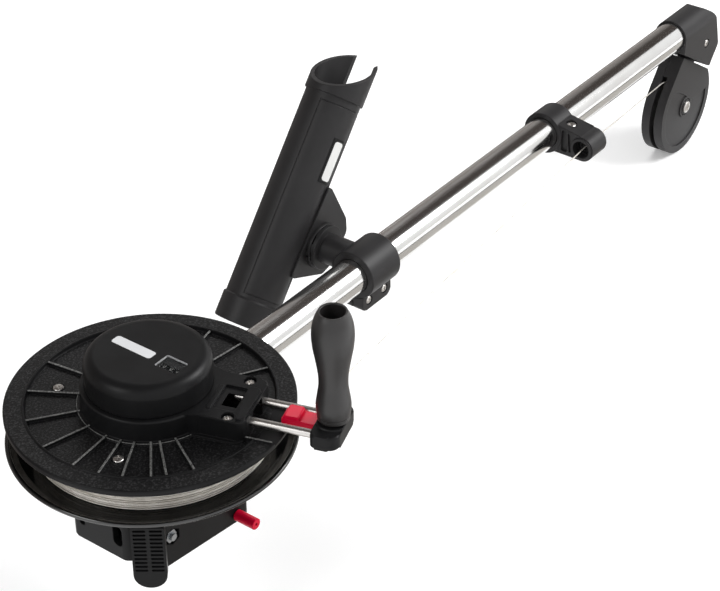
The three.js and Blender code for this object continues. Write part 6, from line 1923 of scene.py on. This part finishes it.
def floorMaterial():
    # Matt white paper: it takes the shadow, and to the lens it stays close to white
    material = newMaterial("mattWhitePaper")
    where = addNode(material, "TexCoord").outputs["Object"]
    fibre = addNode(material, "TexNoise", {"Vector": where, "Scale": perMetre(60.0), "Detail": 2.0})
    cloudy = {"Fac": fibre.outputs["Fac"]}
    tone = addNode(material, "ValToRGB", cloudy, stops=((0.3, "#f3f3f3"), (0.7, "#f6f6f6")))
    paper = addNode(material, "BsdfDiffuse", {"Color": tone.outputs["Color"]})
    glow = addNode(material, "Emission", {"Color": fromHex("#ffffff"), "Strength": stageData["glow"]})
    both = addNode(material, "AddShader", {0: paper.outputs[0], 1: glow.outputs[0]})
    return finishMaterial(material, whenSeen(material, paper, both))


def sheet(name, corners):
    mesh = bpy.data.meshes.new(name)
    mesh.from_pydata(corners, [], [tuple(range(len(corners)))])
    return link(bpy.data.objects.new(name, mesh))


def paperFloor():
    reach, z = stageData["reach"], stageData["floor"]
    made = sheet("floor", [(-reach, -reach, z), (reach, -reach, z), (reach, reach, z), (-reach, reach, z)])
    made.data.materials.append(floorMaterial())
    return made


floor = paperFloor()


def onlyMirrored(glowSheet):
    glowSheet.visible_camera = False
    glowSheet.visible_diffuse = False
    glowSheet.visible_shadow = False
    glowSheet.visible_transmission = False
    return glowSheet


def darkCard():
    # A barrel of glowing sheet out of view over the boom, seen only in shiny surfaces: a painted reflection for
    # the steel, pale at its low edge and darker above
    d = stageData
    first, last = (math.radians(a) for a in d["reflectionSheetAngles"])
    bm = bmesh.new()
    rows = []
    for k in range(25):
        a = first + (last - first) * k / 24
        y, z = d["reflectionSheetRadius"] * math.cos(a), d["reflectionSheetRadius"] * math.sin(a)
        rows.append([bm.verts.new((x, y, z)) for x in d["reflectionSheetReach"]])
    for low, high in zip(rows, rows[1:]):
        bm.faces.new((low[0], low[1], high[1], high[0]))
    glowSheet = fromBmesh(bm)
    glowSheet.name = "glowingReflectionSheet"
    material = newMaterial("paintedReflectionGlow")
    where = addNode(material, "TexCoord").outputs["Object"]
    parts = addNode(material, "SeparateXYZ", {"Vector": where}).outputs
    height = addNode(material, "Math", {0: parts["Z"], 1: parts["Y"]}, operation="ARCTAN2").outputs[0]
    share = addNode(material, "MapRange", {"Value": height, "From Min": first, "From Max": math.radians(60)})
    graded = {"Fac": share.outputs["Result"]}
    tone = addNode(material, "ValToRGB", graded, stops=((0.0, "#a09a96"), (1.0, "#4a4441")))
    shine = addNode(material, "Emission", {"Color": tone.outputs["Color"], "Strength": 1.0})
    glowSheet.data.materials.append(finishMaterial(material, shine))
    return onlyMirrored(glowSheet)


def paperStrips():
    # Glowing strips on the floor along the boom, seen only in the polished tube: painted reflections that make its
    # long grey lines
    made = []
    for name, ((x0, x1), (y0, y1), colour) in stageData["strips"].items():
        z = stageData["floor"] + metre
        strip = sheet(name + "Strip", [(x0, y0, z), (x1, y0, z), (x1, y1, z), (x0, y1, z)])
        material = newMaterial(name + "MirroredGlow")
        tone = addNode(material, "Emission", {"Color": fromHex(colour), "Strength": 1.0})
        strip.data.materials.append(finishMaterial(material, tone))
        made.append(onlyMirrored(strip))
    return made


darkCard()
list(paperStrips())


def areaLight(name, spot, size, power):
    light = bpy.data.lights.new(name, "AREA")
    light.shape = "DISK"
    light.size = size
    light.energy = power
    lamp = link(bpy.data.objects.new(name, light))
    lamp.location = spot
    aim = Vector(stageData["aim"]) - lamp.location
    lamp.rotation_euler = aim.to_track_quat("-Z", "Y").to_euler()


for name, (spot, size, power) in stageData["lamps"].items():
    areaLight(name, spot, size, power)


def makeWorld():
    # White to the lens and in mirrors, dimmer as light on the object
    world = bpy.data.worlds.new("studio")
    bpy.context.scene.world = world
    world.use_nodes = True
    world.node_tree.nodes.clear()
    white = addNode(world, "Background", {"Color": (1, 1, 1, 1), "Strength": 1.0})
    soft = addNode(world, "Background", {"Color": (1, 1, 1, 1), "Strength": stageData["world"]})
    addNode(world, "OutputWorld", {"Surface": whenSeen(world, soft, white).outputs[0]})


makeWorld()
bpy.context.scene.view_settings.view_transform = "Standard"
print("studio made")
